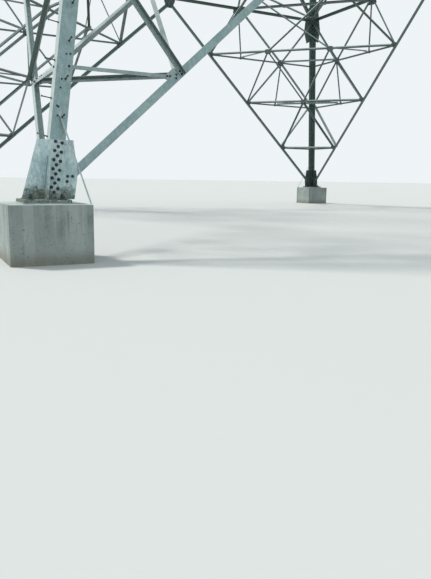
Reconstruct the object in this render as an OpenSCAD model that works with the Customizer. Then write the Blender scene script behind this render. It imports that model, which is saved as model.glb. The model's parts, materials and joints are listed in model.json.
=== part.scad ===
// Base section of a lattice transmission pylon: four concrete piers, four battered leg angles on
// crossed shoe plates, K-braced leg panels with redundant bracing, a belt with level bracing, and
// one cross-braced body panel above it. All sizes are in millimetres, +Z is up, and the origin is
// on the ground at the centre of the four piers. The near left quarter is described once and
// turned round the Z axis, so all four faces and all four legs are alike.

/* [Stance] */
// Heel to heel distance of neighbouring legs at the pier tops
base_w = 19200; // [16000:50:22000]
// Inward lean of every face, run per unit of rise
batter = 0.163; // [0.12:0.001:0.18]

/* [Piers] */
// Side of a square concrete pier
pier_w = 1250; // [1050:10:1600]
// Height of a pier above its lowest ground point
pier_h = 900; // [500:10:1500]
// Chamfer along the upright corners of a pier
pier_chamfer = 25; // [10:5:60]
// Thickness of the grout pad under a base plate
grout_t = 20; // [10:5:60]
// How far the grout pad stands out past the base plate
grout_margin = 10; // [10:5:60]

/* [Shoes] */
// Side of a square base plate
foot_plate_w = 720; // [720:10:900]
// Thickness of a base plate
foot_plate_t = 45; // [40:5:80]
// Height of the crossed shoe plates above the base plate
shoe_h = 920; // [700:10:1200]
// Thickness of a shoe plate
shoe_t = 22; // [16:1:30]
// Reach of a shoe plate outside the leg's heel, at its foot
shoe_out_foot = 345; // [250:5:350]
// Reach of a shoe plate outside the leg's heel, at its head
shoe_out_head = 200; // [120:5:240]
// Reach of a shoe plate inside the leg's heel, at its foot
shoe_in_foot = 475; // [420:5:560]
// Reach of a shoe plate inside the leg's heel, where the diagonal meets it
shoe_in_mid = 490; // [480:5:600]
// Reach of a shoe plate inside the leg's heel, at its head
shoe_in_head = 370; // [330:5:420]
// Height of the outer rib, as a share of the shoe plate's height
rib_share = 0.72; // [0.5:0.02:0.9]
// Reach of the outer rib outside the leg's heel, at its head
rib_head = 210; // [120:5:240]

/* [Levels] */
// Height above the pier top where the main diagonals leave the leg
foot_node_z = 160; // [150:10:300]
// Rise from the pier top to the first redundant level
first_rise = 2150; // [1800:10:2600]
// Rise from the first to the second redundant level
second_rise = 2200; // [1900:10:2400]
// Rise from the second to the third redundant level
third_rise = 2100; // [1900:10:2400]
// Rise from the third redundant level to the belt
belt_rise = 2210; // [1900:10:2500]
// How far the main diagonals' meeting point lies below the belt's middle
apex_drop = 210; // [150:5:300]
// Height of the cross-braced panel above the belt
upper_h = 15000; // [13000:50:17000]
// Length of the leg stubs above the top belt
stub_h = 500; // [400:10:800]

/* [Legs] */
// Flange width of a lower leg angle
leg_w = 250; // [220:5:280]
// Thickness of a lower leg angle
leg_t = 28; // [20:1:35]
// Flange width of an upper leg angle
upper_leg_w = 220; // [200:5:250]
// Thickness of an upper leg angle
upper_leg_t = 24; // [18:1:30]
// Radius in the root of a leg angle
root_r = 20; // [12:1:26]
// Height of the leg splice's middle above the belt
splice_up = 1500; // [1400:10:1800]
// Length of a splice plate
splice_l = 1000; // [800:10:1200]
// Thickness of a splice plate
splice_t = 16; // [12:1:22]

/* [Bracing] */
// Flange width of a main diagonal
diag_w = 140; // [130:5:180]
// Thickness of a main diagonal
diag_t = 14; // [10:1:16]
// Flange width of a belt angle
belt_w = 130; // [120:5:160]
// Thickness of a belt angle
belt_t = 12; // [8:1:14]
// Flange width of the long struts from the legs over the knees to the belt
strut_w = 115; // [90:5:125]
// Thickness of these long struts
strut_t = 10; // [8:1:12]
// Flange width of the lowest struts, in the faces and in the planes behind the diagonals
low_strut_w = 90; // [80:5:110]
// Thickness of the lowest struts
low_strut_t = 8; // [7:1:10]
// How far the lowest struts are set off from the bracing's joints, square to their length
low_strut_off = 105; // [90:5:130]
// Flange width of the level bracing at the belt, and of the bars that rise to it
level_w = 100; // [90:5:125]
// Thickness of the level bracing at the belt
level_t = 8; // [7:1:10]
// Flange width of the lowest horizontals
first_red_w = 63; // [50:1:75]
// Flange width of the other redundant bracing
red_w = 75; // [65:1:90]
// Thickness of the redundant bracing
red_t = 7; // [5:1:8]
// Flange width of the thin hangers
hanger_w = 50; // [45:1:63]
// Thickness of the thin hangers
hanger_t = 5; // [4:1:7]
// Thickness of the gusset plates
gusset_t = 12; // [8:1:16]
// Spacing along a leg, or along the belt, of the bars that meet there
spread = 110; // [100:5:140]
// Clear gap between the ends of bars that meet
end_gap = 12; // [8:1:20]

/* [Earthing] */
// Width of an earthing strap
strap_w = 40; // [30:5:60]
// Thickness of an earthing strap
strap_t = 6; // [4:1:8]
// Height above the pier top where an earthing strap is fixed to the leg
strap_z = 1370; // [1250:10:1700]

/* [Hidden] */
CORNERS = ["near_left", "near_right", "far_right", "far_left"];
FACES = ["near", "right", "far", "left"];

steel = "#a9b0b3";
steel_dark = "#8d9698";
concrete = "#9b978c";

// Slope length of a face per unit of rise, and the opening angle of its leg angles
slope_k = sqrt(1 + batter * batter);
leg_open = acos(-batter * batter / (1 + batter * batter));
first_z = first_rise;
second_z = first_z + second_rise;
third_z = second_z + third_rise;
belt_z = third_z + belt_rise;
level = [foot_node_z, first_z, second_z, third_z, belt_z - apex_drop];
top_z = belt_z + upper_h;
shoe_foot_z = grout_t + foot_plate_t;
splice_z = belt_z + splice_up;
leg_head_z = top_z + stub_h;
// Overlap of solids that are joined in one piece
over = 2;
// Play between a lug and the level plate bolted to it
play = 1;
// Where the struts meet the half belt, and where the hangers stand on the redundant levels
quarter_share = 0.55;
hanger_share = 0.58;
// Length over which a redundant's outstanding flange is cut away where it meets a diagonal
cope = 110;
// Bent lugs under the outstanding flanges: thickness, distance past the flange's edge, level arm
lug_t = 10;
lug_gap = 10;
lug_arm = 200;

function unit(v) = v / norm(v);
function mix(a, b, s) = a + (b - a) * s;
function bearing(a, b) = atan2(b.y - a.y, b.x - a.x);
// Half the heel square at a height above the pier tops
function half(z) = base_w / 2 - batter * z;
// Where the line a to b of a face reaches the height z
function at_z(a, b, z) = mix(a, b, (z * slope_k - a.y) / (b.y - a.y));
// Point of a face at height z, x from its middle; the face's second axis runs up its slope
function on(x, z) = [x, z * slope_k];
// Gauge lines of the left leg's flange in a face, below and above the splice
function leg_pt(z) = on(-half(z) + leg_w / 2, z);
function upper_pt(z) = on(-half(z) + upper_leg_w / 2, z);
// World point of a near face point, set in by depth behind the face's outer plane
function world(p, depth = 0) = [
    p.x,
    -base_w / 2 + p.y * batter / slope_k + depth / slope_k,
    pier_h + p.y / slope_k - depth * batter / slope_k
];
// The matching point of the left face, which meets the near face at the near left leg
function flip(w) = [w.y, w.x, w.z];
// How far a bar of width w stops short of a member of half width hw that it meets at angle a
function trim(hw, w, a) = (hw + end_gap + w / 2 * abs(cos(a))) / max(0.2, abs(sin(a)));

// Joints of the left half of a face: main diagonal, knees of the struts, middle of the half belt
foot_pt = leg_pt(foot_node_z);
apex_pt = on(0, level[4]);
belt_end = leg_pt(belt_z);
function diag_pt(k) = at_z(foot_pt, apex_pt, level[k]);
quarter_pt = mix(belt_end, on(0, belt_z), quarter_share);
knee_pt = at_z(leg_pt(second_z), mix(belt_end, on(0, belt_z), 0.5), third_z);
second_mid = mix(leg_pt(second_z), diag_pt(2), hanger_share);
third_mid = mix(knee_pt, diag_pt(3), hanger_share);
leg_a = bearing(leg_pt(0), belt_end);
diag_a = bearing(foot_pt, apex_pt);

// Joints of the cross-braced panel: the crossing and the middles of the half braces
top_end = upper_pt(top_z);
cross_pt = mix(belt_end, [-top_end.x, top_end.y], belt_end.x / (belt_end.x + top_end.x));
low_mid = mix(belt_end, cross_pt, 0.5);
high_mid = mix(cross_pt, top_end, 0.5);
function beside(p) = upper_pt(p.y / slope_k);

// Joints of the hip plane between the two main diagonals of the near left foot
function hip_a(k) = world(diag_pt(k), diag_t);
function hip_b(k) = flip(hip_a(k));
function hip(k, s) = mix(hip_a(k), hip_b(k), s);
function up_normal(a, b, c) = let (n = unit(cross(b - a, c - a))) n.z > 0 ? n : -n;
hip_up = up_normal(hip_a(0), hip_a(4), hip_b(4));
// Height of a bent lug's level arm, under a flange hw above the level z and d deep in the face
function shelf_z(z, hw, d) = pier_h + z + (hw - (d + lug_gap) * batter) / slope_k;
function red_shelf(k) = shelf_z(level[k], red_w / 2 - red_t, leg_t + red_w);
level_shelf = [0, 0, red_shelf(2), red_shelf(3)];
// Top face of the level plates at the belts, which lie under their lugs
belt_plan_z = shelf_z(belt_z, belt_w / 2 - belt_t, belt_w) - lug_t - play;
top_plan_z = shelf_z(top_z, belt_w / 2 - belt_t, belt_w) - lug_t - play;
// Joints of the belt's level bracing: thirds of the line between two face middles
function third_pt(m, z) = [-(1 + m) / 3 * half(belt_z), -(2 - m) / 3 * half(belt_z), z];
// Where the hip plane's upper bars end, on the lower edge of the bars through those joints
function hip_top(m) = third_pt(m, belt_plan_z - gusset_t - level_w);
hip_up_high = up_normal(hip_a(3), hip_b(3), hip_top(0));

// Distance from a diagonal's middle line at which the bars lapped under it end, less the gap
lap_edge = 15;
// Distance from a leg's middle line at which the bars lapped behind its flange end, less the gap
leg_edge = 20;

// Section of an angle bar laid along X: one flange flat, from y -w/2 to w/2, the other inward
module angle_section(w, t, side) {
    polygon([
        [-side * w / 2, 0],
        [side * w / 2, 0],
        [side * w / 2, -w],
        [side * (w / 2 - t), -w],
        [side * (w / 2 - t), -t],
        [-side * w / 2, -t]
    ]);
}

// Angle bar between two points of a face, cut back at its ends
module face_bar(a, b, w, t, side = 1, cut_a = 0, cut_b = 0) {
    translate([a.x, a.y, 0])
        rotate([0, 0, bearing(a, b)])
            translate([cut_a, 0, 0])
                rotate([90, 0, 90])
                    linear_extrude(norm(b - a) - cut_a - cut_b)
                        angle_section(w, t, side);
}

// Face bar that stops short of the members it meets, given their half widths and angles
module brace(a, b, w, t, ha, aa, hb, ab, side = 1) {
    d = bearing(a, b);
    face_bar(a, b, w, t, side, trim(ha, w, d - aa), trim(hb, w, d - ab));
}

// Brace that starts under a diagonal, with its outstanding flange cut away there
module coped_brace(a, b, w, t, hb, ab, side = 1) {
    d = bearing(a, b);
    c = trim(lap_edge, w, d - diag_a);
    translate([a.x, a.y, 0])
        rotate([0, 0, d])
            translate([c, -w / 2, -t])
                cube([cope + over, w, t]);
    face_bar(a, b, w, t, side, c + cope, trim(hb, w, d - ab));
}

// Children in the frame with origin o and the given axes
module in_axes(x, y, z, o) {
    multmatrix([
        [x.x, y.x, z.x, o.x],
        [x.y, y.y, z.y, o.y],
        [x.z, y.z, z.z, o.z]
    ])
        children();
}

// Angle bar between two world points, its flat flange's outer face through both and facing n
module space_bar(a, b, n, w, t, side = 1, cut_a = 0, cut_b = 0) {
    u = unit(b - a);
    s = unit(cross(n, u));
    in_axes(s, cross(u, s), u, a)
        translate([0, 0, cut_a])
            linear_extrude(norm(b - a) - cut_a - cut_b)
                angle_section(w, t, side);
}

// Plate with clipped corners, centred on a point, from z 0 up
module plate(c, l, w, a = 0) {
    k = min(l, w) * 0.22;
    translate([c.x, c.y, 0])
        rotate([0, 0, a])
            linear_extrude(gusset_t)
                polygon([
                    [-l / 2 + k, -w / 2], [l / 2 - k, -w / 2],
                    [l / 2, -w / 2 + k], [l / 2, w / 2 - k],
                    [l / 2 - k, w / 2], [-l / 2 + k, w / 2],
                    [-l / 2, w / 2 - k], [-l / 2, -w / 2 + k]
                ]);
}

// Children in the frame of face k: x across, y up the slope, z outward from its outer plane
module on_face(k) {
    rotate([0, 0, 90 * k])
        translate([0, -base_w / 2, pier_h])
            rotate([90 - atan(batter), 0, 0])
                children();
}

// Children of the near left corner, turned to corner k
module at_corner(k) {
    rotate([0, 0, 90 * k]) children();
}

module both_halves() {
    children();
    mirror([1, 0, 0]) children();
}

// Children of the near left corner, and again mirrored to the other face beside that leg
module both_sides() {
    children();
    mirror([1, -1, 0]) children();
}

module pier(k) {
    c = pier_chamfer;
    r = pier_w / 2;
    pad = foot_plate_w + 2 * grout_margin;
    color(concrete)
        at_corner(k)
            translate([-base_w / 2, -base_w / 2, 0]) {
                linear_extrude(pier_h)
                    polygon([
                        [-r + c, -r], [r - c, -r], [r, -r + c], [r, r - c],
                        [r - c, r], [-r + c, r], [-r, r - c], [-r, -r + c]
                    ]);
                translate([-pad / 2, -pad / 2, pier_h - over])
                    cube([pad, pad, grout_t + over]);
            }
}

// Shoe plate in a face beside the leg's heel, with its outer wing of height wing and head reach
module shoe_plate(wing, wing_head) {
    z0 = shoe_foot_z - 4 * over;
    z1 = z0 + shoe_h * 0.42;
    z2 = shoe_foot_z + shoe_h;
    zw = shoe_foot_z + wing;
    linear_extrude(shoe_t)
        polygon([
            on(-half(z0) - shoe_out_foot, z0),
            on(-half(z0) + shoe_in_foot, z0),
            on(-half(z1) + shoe_in_mid, z1),
            on(-half(z2) + shoe_in_head, z2),
            if (wing < shoe_h) on(-half(z2), z2),
            if (wing < shoe_h) on(-half(zw), zw),
            on(-half(zw) - wing_head, zw)
        ]);
}

module shoe(k) {
    color(steel)
        at_corner(k) {
            translate([-base_w / 2 - foot_plate_w / 2, -base_w / 2 - foot_plate_w / 2, pier_h + grout_t])
                cube([foot_plate_w, foot_plate_w, foot_plate_t]);
            intersection() {
                union() {
                    on_face(0) shoe_plate(shoe_h, shoe_out_head);
                    mirror([1, -1, 0]) on_face(0) shoe_plate(shoe_h * rib_share, rib_head);
                }
                translate([-base_w, -base_w, pier_h + shoe_foot_z - over])
                    cube([base_w, base_w, 2 * shoe_h]);
            }
        }
}

// Leg angle of the near left corner: its flanges lie in the two faces and meet in a rounded root
module leg_angle(w, t, z0, z1) {
    lean = unit([batter, batter, 1]);
    e1 = unit([1, 0, 0] - lean.x * lean);
    along = [cos(leg_open), sin(leg_open)];
    across = [sin(leg_open), -cos(leg_open)];
    root = t * across + t * (1 - across.y) / along.y * along;
    // The fillet's centre lies on the bisector of the two flanges
    bisect = unit([1, 0] + along);
    centre = root + bisect * root_r / sin(leg_open / 2);
    reach = norm([batter, batter, 1]);
    arc = [for (i = [0:4]) let (a = 270 - (180 - leg_open) * i / 4) centre + root_r * [cos(a), sin(a)]];
    intersection() {
        in_axes(e1, cross(lean, e1), lean, [-half(0), -half(0), pier_h])
            translate([0, 0, z0 * reach - w])
                linear_extrude((z1 - z0) * reach + 2 * w)
                    polygon(concat([[0, 0], [w, 0], [w, t]], arc, [w * along + t * across, w * along]));
        translate([-base_w, -base_w, pier_h + z0])
            cube([base_w, base_w, z1 - z0]);
    }
}

module leg(k) {
    color(steel)
        at_corner(k)
            leg_angle(leg_w, leg_t, shoe_foot_z, splice_z - end_gap / 2);
}

module upper_leg(k) {
    color(steel)
        at_corner(k)
            leg_angle(upper_leg_w, upper_leg_t, splice_z + end_gap / 2, leg_head_z);
}

// Splice plates on the outside of each leg's two flanges
module leg_splices() {
    color(steel_dark)
        for (k = [0:3])
            at_corner(k) both_sides() on_face(0) splice_plate();
}

module splice_plate() {
    z0 = splice_z - splice_l / 2;
    z1 = splice_z + splice_l / 2;
    edge = 10;
    w = upper_leg_w - edge;
    linear_extrude(splice_t)
        polygon([
            on(-half(z0) + edge, z0),
            on(-half(z0) + w, z0),
            on(-half(z1) + w, z1),
            on(-half(z1) + edge, z1)
        ]);
}

// Horizontal of a half face at redundant level k, lapped behind the leg's flange
module horizontal(k) {
    w = k == 1 ? first_red_w : red_w;
    coped_brace(diag_pt(k), leg_pt(level[k]), w, red_t, leg_edge, leg_a, -1);
}

// Point of a leg's middle line, s above the level z
function on_leg(z, s) = leg_pt(z) + s * unit(leg_pt(z + 1) - leg_pt(z));

// Redundants of the left half of a face, with their flat flanges behind the leg's flange
module half_bracing() {
    red_hw = red_w / 2;
    belt_hw = belt_w / 2;
    above = on_leg(second_z, spread);
    below_belt = on_leg(belt_z, -spread);
    translate([0, 0, -leg_t]) {
        for (k = [1:3]) horizontal(k);
        brace(above, knee_pt, strut_w, strut_t, leg_edge, leg_a, red_hw, 0, -1);
        brace(knee_pt, quarter_pt - [spread, 0], strut_w, strut_t, red_hw, 0, belt_hw, 0, -1);
        coped_brace(diag_pt(2), knee_pt, red_w, red_t, red_hw, 0);
        brace(knee_pt, below_belt, red_w, red_t, red_hw, 0, leg_edge, leg_a);
        coped_brace(diag_pt(3), quarter_pt + [spread * 0.7, 0], hanger_w, hanger_t, belt_hw, 0);
        brace(second_mid, knee_pt, hanger_w, hanger_t, red_hw, 0, red_hw, 0);
        brace(third_mid, quarter_pt, hanger_w, hanger_t, red_hw, 0, belt_hw, 0);
    }
    low_strut();
}

// Lowest strut, on the outside of the diagonal and the leg, its outstanding flange outward
module low_strut() {
    a = diag_pt(1);
    b = leg_pt(second_z);
    u = unit(b - a);
    off = low_strut_off * [u.y, -u.x];
    mirror([0, 0, 1])
        face_bar(a + off, b + off, low_strut_w, low_strut_t, -1, -low_strut_w * 0.4, -low_strut_w * 0.9);
}

module bracing(k) {
    color(steel) on_face(k) both_halves() half_bracing();
}

module main_diagonal() {
    brace(foot_pt, apex_pt, diag_w, diag_t, leg_w / 2, leg_a, belt_w / 2 - apex_drop + diag_w, 0, -1);
}

module diagonals(k) {
    color(steel) on_face(k) both_halves() main_diagonal();
}

module belt_angle(hw, end) {
    c = trim(hw, belt_w, leg_a);
    face_bar(end, [-end.x, end.y], belt_w, belt_t, 1, c, c);
}

module belt(k) {
    color(steel) on_face(k) belt_angle(leg_w / 2, belt_end);
}

// Cross-braced panel of a face above the belt, with its redundants and the top belt
module upper_bracing(k) {
    b = [-top_end.x, top_end.y];
    ang = bearing(belt_end, b);
    hw = upper_leg_w / 2;
    low_cut = trim(leg_w / 2 + 80, diag_w, ang - leg_a);
    high_cut = trim(hw + 80, diag_w, ang + leg_a);
    mid_cut = trim(diag_w / 2, diag_w, 2 * ang);
    color(steel)
        on_face(k) {
            face_bar(belt_end, b, diag_w, diag_t, 1, low_cut, high_cut);
            mirror([1, 0, 0]) {
                face_bar(belt_end, cross_pt, diag_w, diag_t, 1, low_cut, mid_cut);
                face_bar(cross_pt, b, diag_w, diag_t, 1, mid_cut, high_cut);
            }
            belt_angle(hw, top_end);
            both_halves() {
                brace(beside(low_mid), low_mid, red_w, red_t, hw, leg_a, diag_w / 2, ang);
                brace(beside(high_mid), high_mid, red_w, red_t, hw, leg_a, diag_w / 2, -ang);
                brace(beside(cross_pt), cross_pt, red_w, red_t, hw, leg_a, diag_w, ang);
                brace(low_mid, beside(cross_pt), red_w, red_t, diag_w / 2, ang, hw, leg_a);
                brace(high_mid, beside(cross_pt), red_w, red_t, diag_w / 2, -ang, hw, leg_a);
                brace(quarter_pt, low_mid, red_w, red_t, belt_w / 2, 0, diag_w / 2, ang);
            }
        }
}

// Gusset plates of one face: behind the diagonals and the belt, on the redundants' flat flanges,
// and outside the belt's ends and the upper panel
module gussets(k) {
    color(steel_dark)
        on_face(k) {
            both_halves() {
                translate([0, 0, -leg_t]) inner_gussets();
                outer_gussets();
            }
            apex_plate();
            plate(cross_pt, 480, 300);
            plate([0, top_end.y], 360, 220);
        }
}

// Plate under the middle of the belt that takes both main diagonals
module apex_plate() {
    foot = 150;
    head = 270;
    linear_extrude(gusset_t)
        translate([0, apex_pt.y])
            polygon([
                [-foot, -apex_drop], [foot, -apex_drop], [head, apex_drop * 0.3],
                [head, apex_drop + belt_w * 0.4], [-head, apex_drop + belt_w * 0.4],
                [-head, apex_drop * 0.3]
            ]);
}

// Plates that fill the step between the redundants and the flanges in front of them, and the
// plates of the knees and hangers
module inner_gussets() {
    for (k = [1:3]) diagonal_plate(k);
    plate(knee_pt, 340, 290);
    plate(second_mid + [0, red_w / 4], 120, 150);
    plate(third_mid + [0, red_w / 4], 120, 150);
    translate([quarter_pt.x, quarter_pt.y])
        linear_extrude(leg_t - belt_t)
            polygon([
                [-290, -belt_w / 2 - 150], [60, -belt_w / 2 - 190], [260, -belt_w / 2 - 150],
                [240, belt_w * 0.3], [-240, belt_w * 0.3]
            ]);
}

// Plate under a diagonal's upper half, past its edge, that takes the bars at joint k
module diagonal_plate(k) {
    edge = diag_w / 2;
    translate([diag_pt(k).x, diag_pt(k).y])
        rotate([0, 0, diag_a])
            linear_extrude(leg_t - diag_t)
                polygon([
                    [-120, lap_edge], [90, lap_edge], [90, edge + 20], [50, edge + 80],
                    [-150, edge + 80], [-190, edge + 20]
                ]);
}

module outer_gussets() {
    belt_end_plate();
    for (p = [low_mid, cross_pt, high_mid])
        leg_plate(beside(p), upper_leg_w / 2, p == cross_pt ? 260 : 170);
    plate(low_mid, 340, 240, bearing(belt_end, cross_pt));
    plate(high_mid, 340, 240, bearing(top_end, cross_pt));
    top_end_plate();
}

// Plate that laps the leg's flange and reaches out to the redundants
module leg_plate(c, hw, h) {
    out = hw + 130;
    translate([c.x, c.y, 0])
        linear_extrude(gusset_t)
            polygon([
                [-hw * 0.3, -h * 0.75], [hw * 1.2, -h * 0.75], [out, -h * 0.4],
                [out, h * 0.4], [hw * 1.2, h * 0.75], [-hw * 0.3, h * 0.75]
            ]);
}

// Large plate where the belt, the cross brace and the last redundant meet the leg
module belt_end_plate() {
    hw = leg_w / 2;
    translate([belt_end.x, belt_end.y, 0])
        linear_extrude(gusset_t)
            polygon([
                [-hw * 0.9, -1000], [hw, -1120], [hw + 240, -580],
                [hw + 240, 430], [hw, 760], [-hw * 0.5, 760]
            ]);
}

module top_end_plate() {
    hw = upper_leg_w / 2;
    translate([top_end.x, top_end.y, 0])
        linear_extrude(gusset_t)
            polygon([
                [-hw * 0.9, -560], [hw, -620], [hw + 240, -380], [hw + 240, 60], [hw, 130],
                [-hw * 0.6, 130]
            ]);
}

// Bar of the hip plane: its flat flange lies on the plates' upper side
module hip_bar(a, b, w, t, cut_a, cut_b, n = -hip_up) {
    space_bar(a, b, n, w, t, 1, cut_a, cut_b);
}

// Lowest rising bar of the hip plane, under the plates, with its outstanding flange downward
module rising_bar(a, b, side, cut_a, cut_b) {
    under = -gusset_t * hip_up;
    space_bar(a + under, b + under, hip_up, low_strut_w, low_strut_t, side, cut_a, cut_b);
}

// Bracing of the hip plane behind one leg, and the level triangles inside the leg
module hip_bracing(k) {
    side = 80;
    slant = 150;
    inner = 95;
    shift = gusset_t * hip_up_high;
    color(steel)
        at_corner(k) {
            for (i = [1:3])
                hip_bar(hip_a(i), hip_b(i), red_w, red_t, side, side);
            for (m = [0, 1]) {
                n = hip(3, (1 + m) / 3);
                rising_bar(hip(1, m), hip(2, 0.5), 1 - 2 * m, slant, inner);
                hip_bar(hip(2, 0.5), n, red_w, red_t, inner, inner);
                hip_bar(hip(2, m), n, red_w, red_t, slant, inner);
                hip_bar(hip(3, m), hip_top(m), level_w, level_t, slant + 30, 60, -hip_up_high);
            }
            // The last two cross: one lies on the plates' upper side, the other under them
            hip_bar(hip(3, 1 / 3), hip_top(1), red_w, red_t, inner, slant, -hip_up_high);
            hip_bar(hip(3, 2 / 3) - shift, hip_top(0) - shift, red_w, red_t, inner, slant, hip_up_high);
            level_bars();
        }
}

// Bars of the level triangles inside a leg, on the level arms of the lugs
module level_bars() {
    down = [0, 0, -1];
    d = leg_t + red_w;
    q = behind(second_mid, d, level_shelf[2]);
    u = behind(knee_pt, d, level_shelf[3]);
    s = behind(third_mid, d, level_shelf[3]);
    space_bar(q, flip(q), down, red_w, red_t, 1, red_w, red_w);
    space_bar(u, flip(u), down, red_w, red_t, 1, red_w, red_w);
    both_sides() {
        space_bar(q, at_height(hip(2, 0.5), level_shelf[2]), down, hanger_w, hanger_t, 1, 120, 125);
        space_bar(s, at_height(hip(3, 1 / 3), level_shelf[3]), down, hanger_w, hanger_t, 1, 60, 125);
    }
}

function at_height(p, z) = [p.x, p.y, z];
// World point at height z behind a near face joint, clear of a flange that reaches the depth d
function behind(p, d, z) = [p.x, world(p, d + 2 * lug_gap).y, z];

// Outline of a plate bent by the angle a: arms l1 and l2, its thickness t on the side of the bend
module bent_outline(l1, l2, t, a) {
    polygon([
        [-l1, 0],
        [0, 0],
        l2 * [cos(a), sin(a)],
        l2 * [cos(a), sin(a)] + t * [-sin(a), cos(a)],
        [-t * tan(a / 2), t],
        [-l1, t]
    ]);
}

// Lug of length l under the outstanding flange of a near face bar, bent level: its underside is
// y above the joint p, its edge at the depth d, and its width w
module lug(p, y, d, w, l) {
    on_face(0)
        in_axes([0, 0, -1], [0, 1, 0], [1, 0, 0], [p.x - l / 2, p.y + y, -d - lug_gap])
            linear_extrude(l)
                bent_outline(w - 2 * lug_gap, lug_arm, -lug_t, atan(batter));
}

module red_lug(p, l) {
    lug(p, red_w / 2 - red_t, leg_t + red_w, red_w, l);
}

// Bent plate between a main diagonal and the hip plane's bars at level i
module hip_lug(i) {
    u = unit(hip_a(4) - hip_a(0));
    inward = unit(world([0, 0], 1) - world([0, 0]));
    across = cross(u, inward);
    l = 240;
    v = cross(u, hip_up);
    in_axes(across, inward, -u, hip_a(i) + u * l / 2)
        linear_extrude(l)
            bent_outline(diag_w / 2 - diag_t - lug_gap, 230, gusset_t, acos(abs(v * across)));
}

// Plate under the hip plane's bars at p
module hip_plate(p) {
    s = unit([1, -1, 0]);
    in_axes(s, cross(hip_up, s), hip_up, p - gusset_t * hip_up)
        plate([0, 0], 300, 260);
}

// Plates of the hip planes, and the lugs and level plates of the level bracing, of all four legs
module inner_plates() {
    color(steel_dark)
        for (k = [0:3])
            at_corner(k) {
                both_sides() {
                    for (i = [1:3]) hip_lug(i);
                    red_lug(second_mid, 260);
                    red_lug(knee_pt, 260);
                    red_lug(third_mid, 160);
                    belt_lugs(quarter_pt, 300);
                    belt_lugs(belt_end + [leg_w / 2 + 170, 0], 240);
                    level_plate([quarter_pt.x, -half(belt_z) + belt_w + 170], belt_plan_z, 420, 280);
                    level_plate(third_pt(0, 0), belt_plan_z, 520, 460);
                    crossing = ([-half(belt_z), -half(belt_z), 0] + third_pt(0, 0)) / 2;
                    level_plate(crossing, belt_plan_z, 180, 180);
                    belt_lugs(top_end + [upper_leg_w / 2 + 170, 0], 240);
                }
                hip_plate(hip(2, 0.5));
                hip_plate(hip(3, 1 / 3));
                hip_plate(hip(3, 2 / 3));
                level_corner(belt_z, belt_plan_z);
                belt_lugs([0, belt_end.y], 500);
                level_plate([0, -half(belt_z) + belt_w + 190], belt_plan_z, 640, 340);
                level_corner(top_z, top_plan_z);
                belt_lugs([0, top_end.y], 500);
                level_plate([0, -half(top_z) + belt_w + 190], top_plan_z, 640, 340);
                level_plate([-half(top_z) / 2, -half(top_z) / 2], top_plan_z, 300, 300);
            }
}

module belt_lugs(p, l) {
    lug(p, belt_w / 2 - belt_t, belt_w, belt_w, l);
}

// Level plate with its top at height z
module level_plate(c, z, l, w) {
    translate([c.x, c.y, z - gusset_t]) plate([0, 0], l, w);
}

// Level plate inside a leg, under the lugs of both belts
module level_corner(h, z) {
    a = 190;
    b = 700;
    c = 420;
    translate([-half(h), -half(h), z - gusset_t])
        linear_extrude(gusset_t)
            polygon([[a, c], [c, a], [b, a], [b, c], [c, b], [a, b]]);
}

// Level bracing at the belt: an inner square between the face middles, with ties to the legs
module belt_level_bracing() {
    z = belt_plan_z;
    below = z - gusset_t;
    up = [0, 0, 1];
    h = half(belt_z);
    t = [-h + leg_w, -h + leg_w, z];
    q = behind(quarter_pt, belt_w, below);
    color(steel)
        for (k = [0:3])
            at_corner(k) {
                space_bar([0, -h, below], [-h, 0, below], up, level_w, level_t, 1, 300, 300);
                space_bar(q, flip(q), up, level_w, level_t, 1, 90, 90);
                both_sides() {
                    space_bar(t, third_pt(0, z), -up, level_w, level_t, 1, 260, 110);
                    space_bar(q, third_pt(0, below), up, hanger_w, hanger_t, 1, 150, 110);
                }
            }
}

// Level bracing at the top belt: a square between the face middles and a tie to each leg
module top_level_bracing() {
    z = top_plan_z;
    up = [0, 0, 1];
    h = half(top_z);
    m = [-h / 2, -h / 2, z];
    c = -h + upper_leg_w;
    color(steel)
        for (k = [0:3])
            at_corner(k) {
                space_bar([0, -h, z - gusset_t], [-h, 0, z - gusset_t], up, level_w, level_t, 1, 300, 300);
                space_bar(m, [c, c, z], -up, level_w, level_t, 1, 0, 200);
            }
}

// Flat bar from a to b with its flat side facing n, cut back at both ends
module flat_bar(a, b, n) {
    u = unit(b - a);
    s = unit(cross(n, u));
    in_axes(s, cross(u, s), u, a)
        translate([-strap_w / 2, 0, strap_t / 2])
            cube([strap_w, strap_t, norm(b - a) - strap_t]);
}

// Earthing strap of each leg, in three runs: on its flange, past the shoe, down the pier's side
module earth_straps() {
    out = [0, -1, 0];
    lap = 60;
    off = strap_t * out;
    x = -half(strap_z) + leg_w / 2;
    top = [x, -half(strap_z + lap), pier_h + strap_z + lap];
    start = [x, -half(strap_z), pier_h + strap_z];
    edge = [-base_w / 2 + pier_w / 2, -base_w / 2 - pier_w / 2 + 150, pier_h];
    color(steel_dark)
        for (k = [0:3])
            at_corner(k) {
                flat_bar(top, start, out);
                flat_bar(start + off, edge + [0, 0, strap_t], unit([1, -1, 1]));
                flat_bar(edge, [edge.x, edge.y, 0], [1, 0, 0]);
            }
}

for (k = [0:3]) {
    pier(k);
    shoe(k);
    leg(k);
    upper_leg(k);
    hip_bracing(k);
    diagonals(k);
    bracing(k);
    gussets(k);
    belt(k);
    upper_bracing(k);
}
inner_plates();
belt_level_bracing();
top_level_bracing();
leg_splices();
earth_straps();
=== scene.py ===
# %% [markdown]
# # The base of a lattice transmission pylon
# The frame holds every steel bar, plate and concrete pier at its real size. This lesson gives them
# their finishes and adds what is too small for the frame: bolts, climbing pegs, a tie, anchor nuts
# and welds.

# %% Load the frame
import json
import math
import bmesh
import bpy
from mathutils import Matrix, Vector


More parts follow.
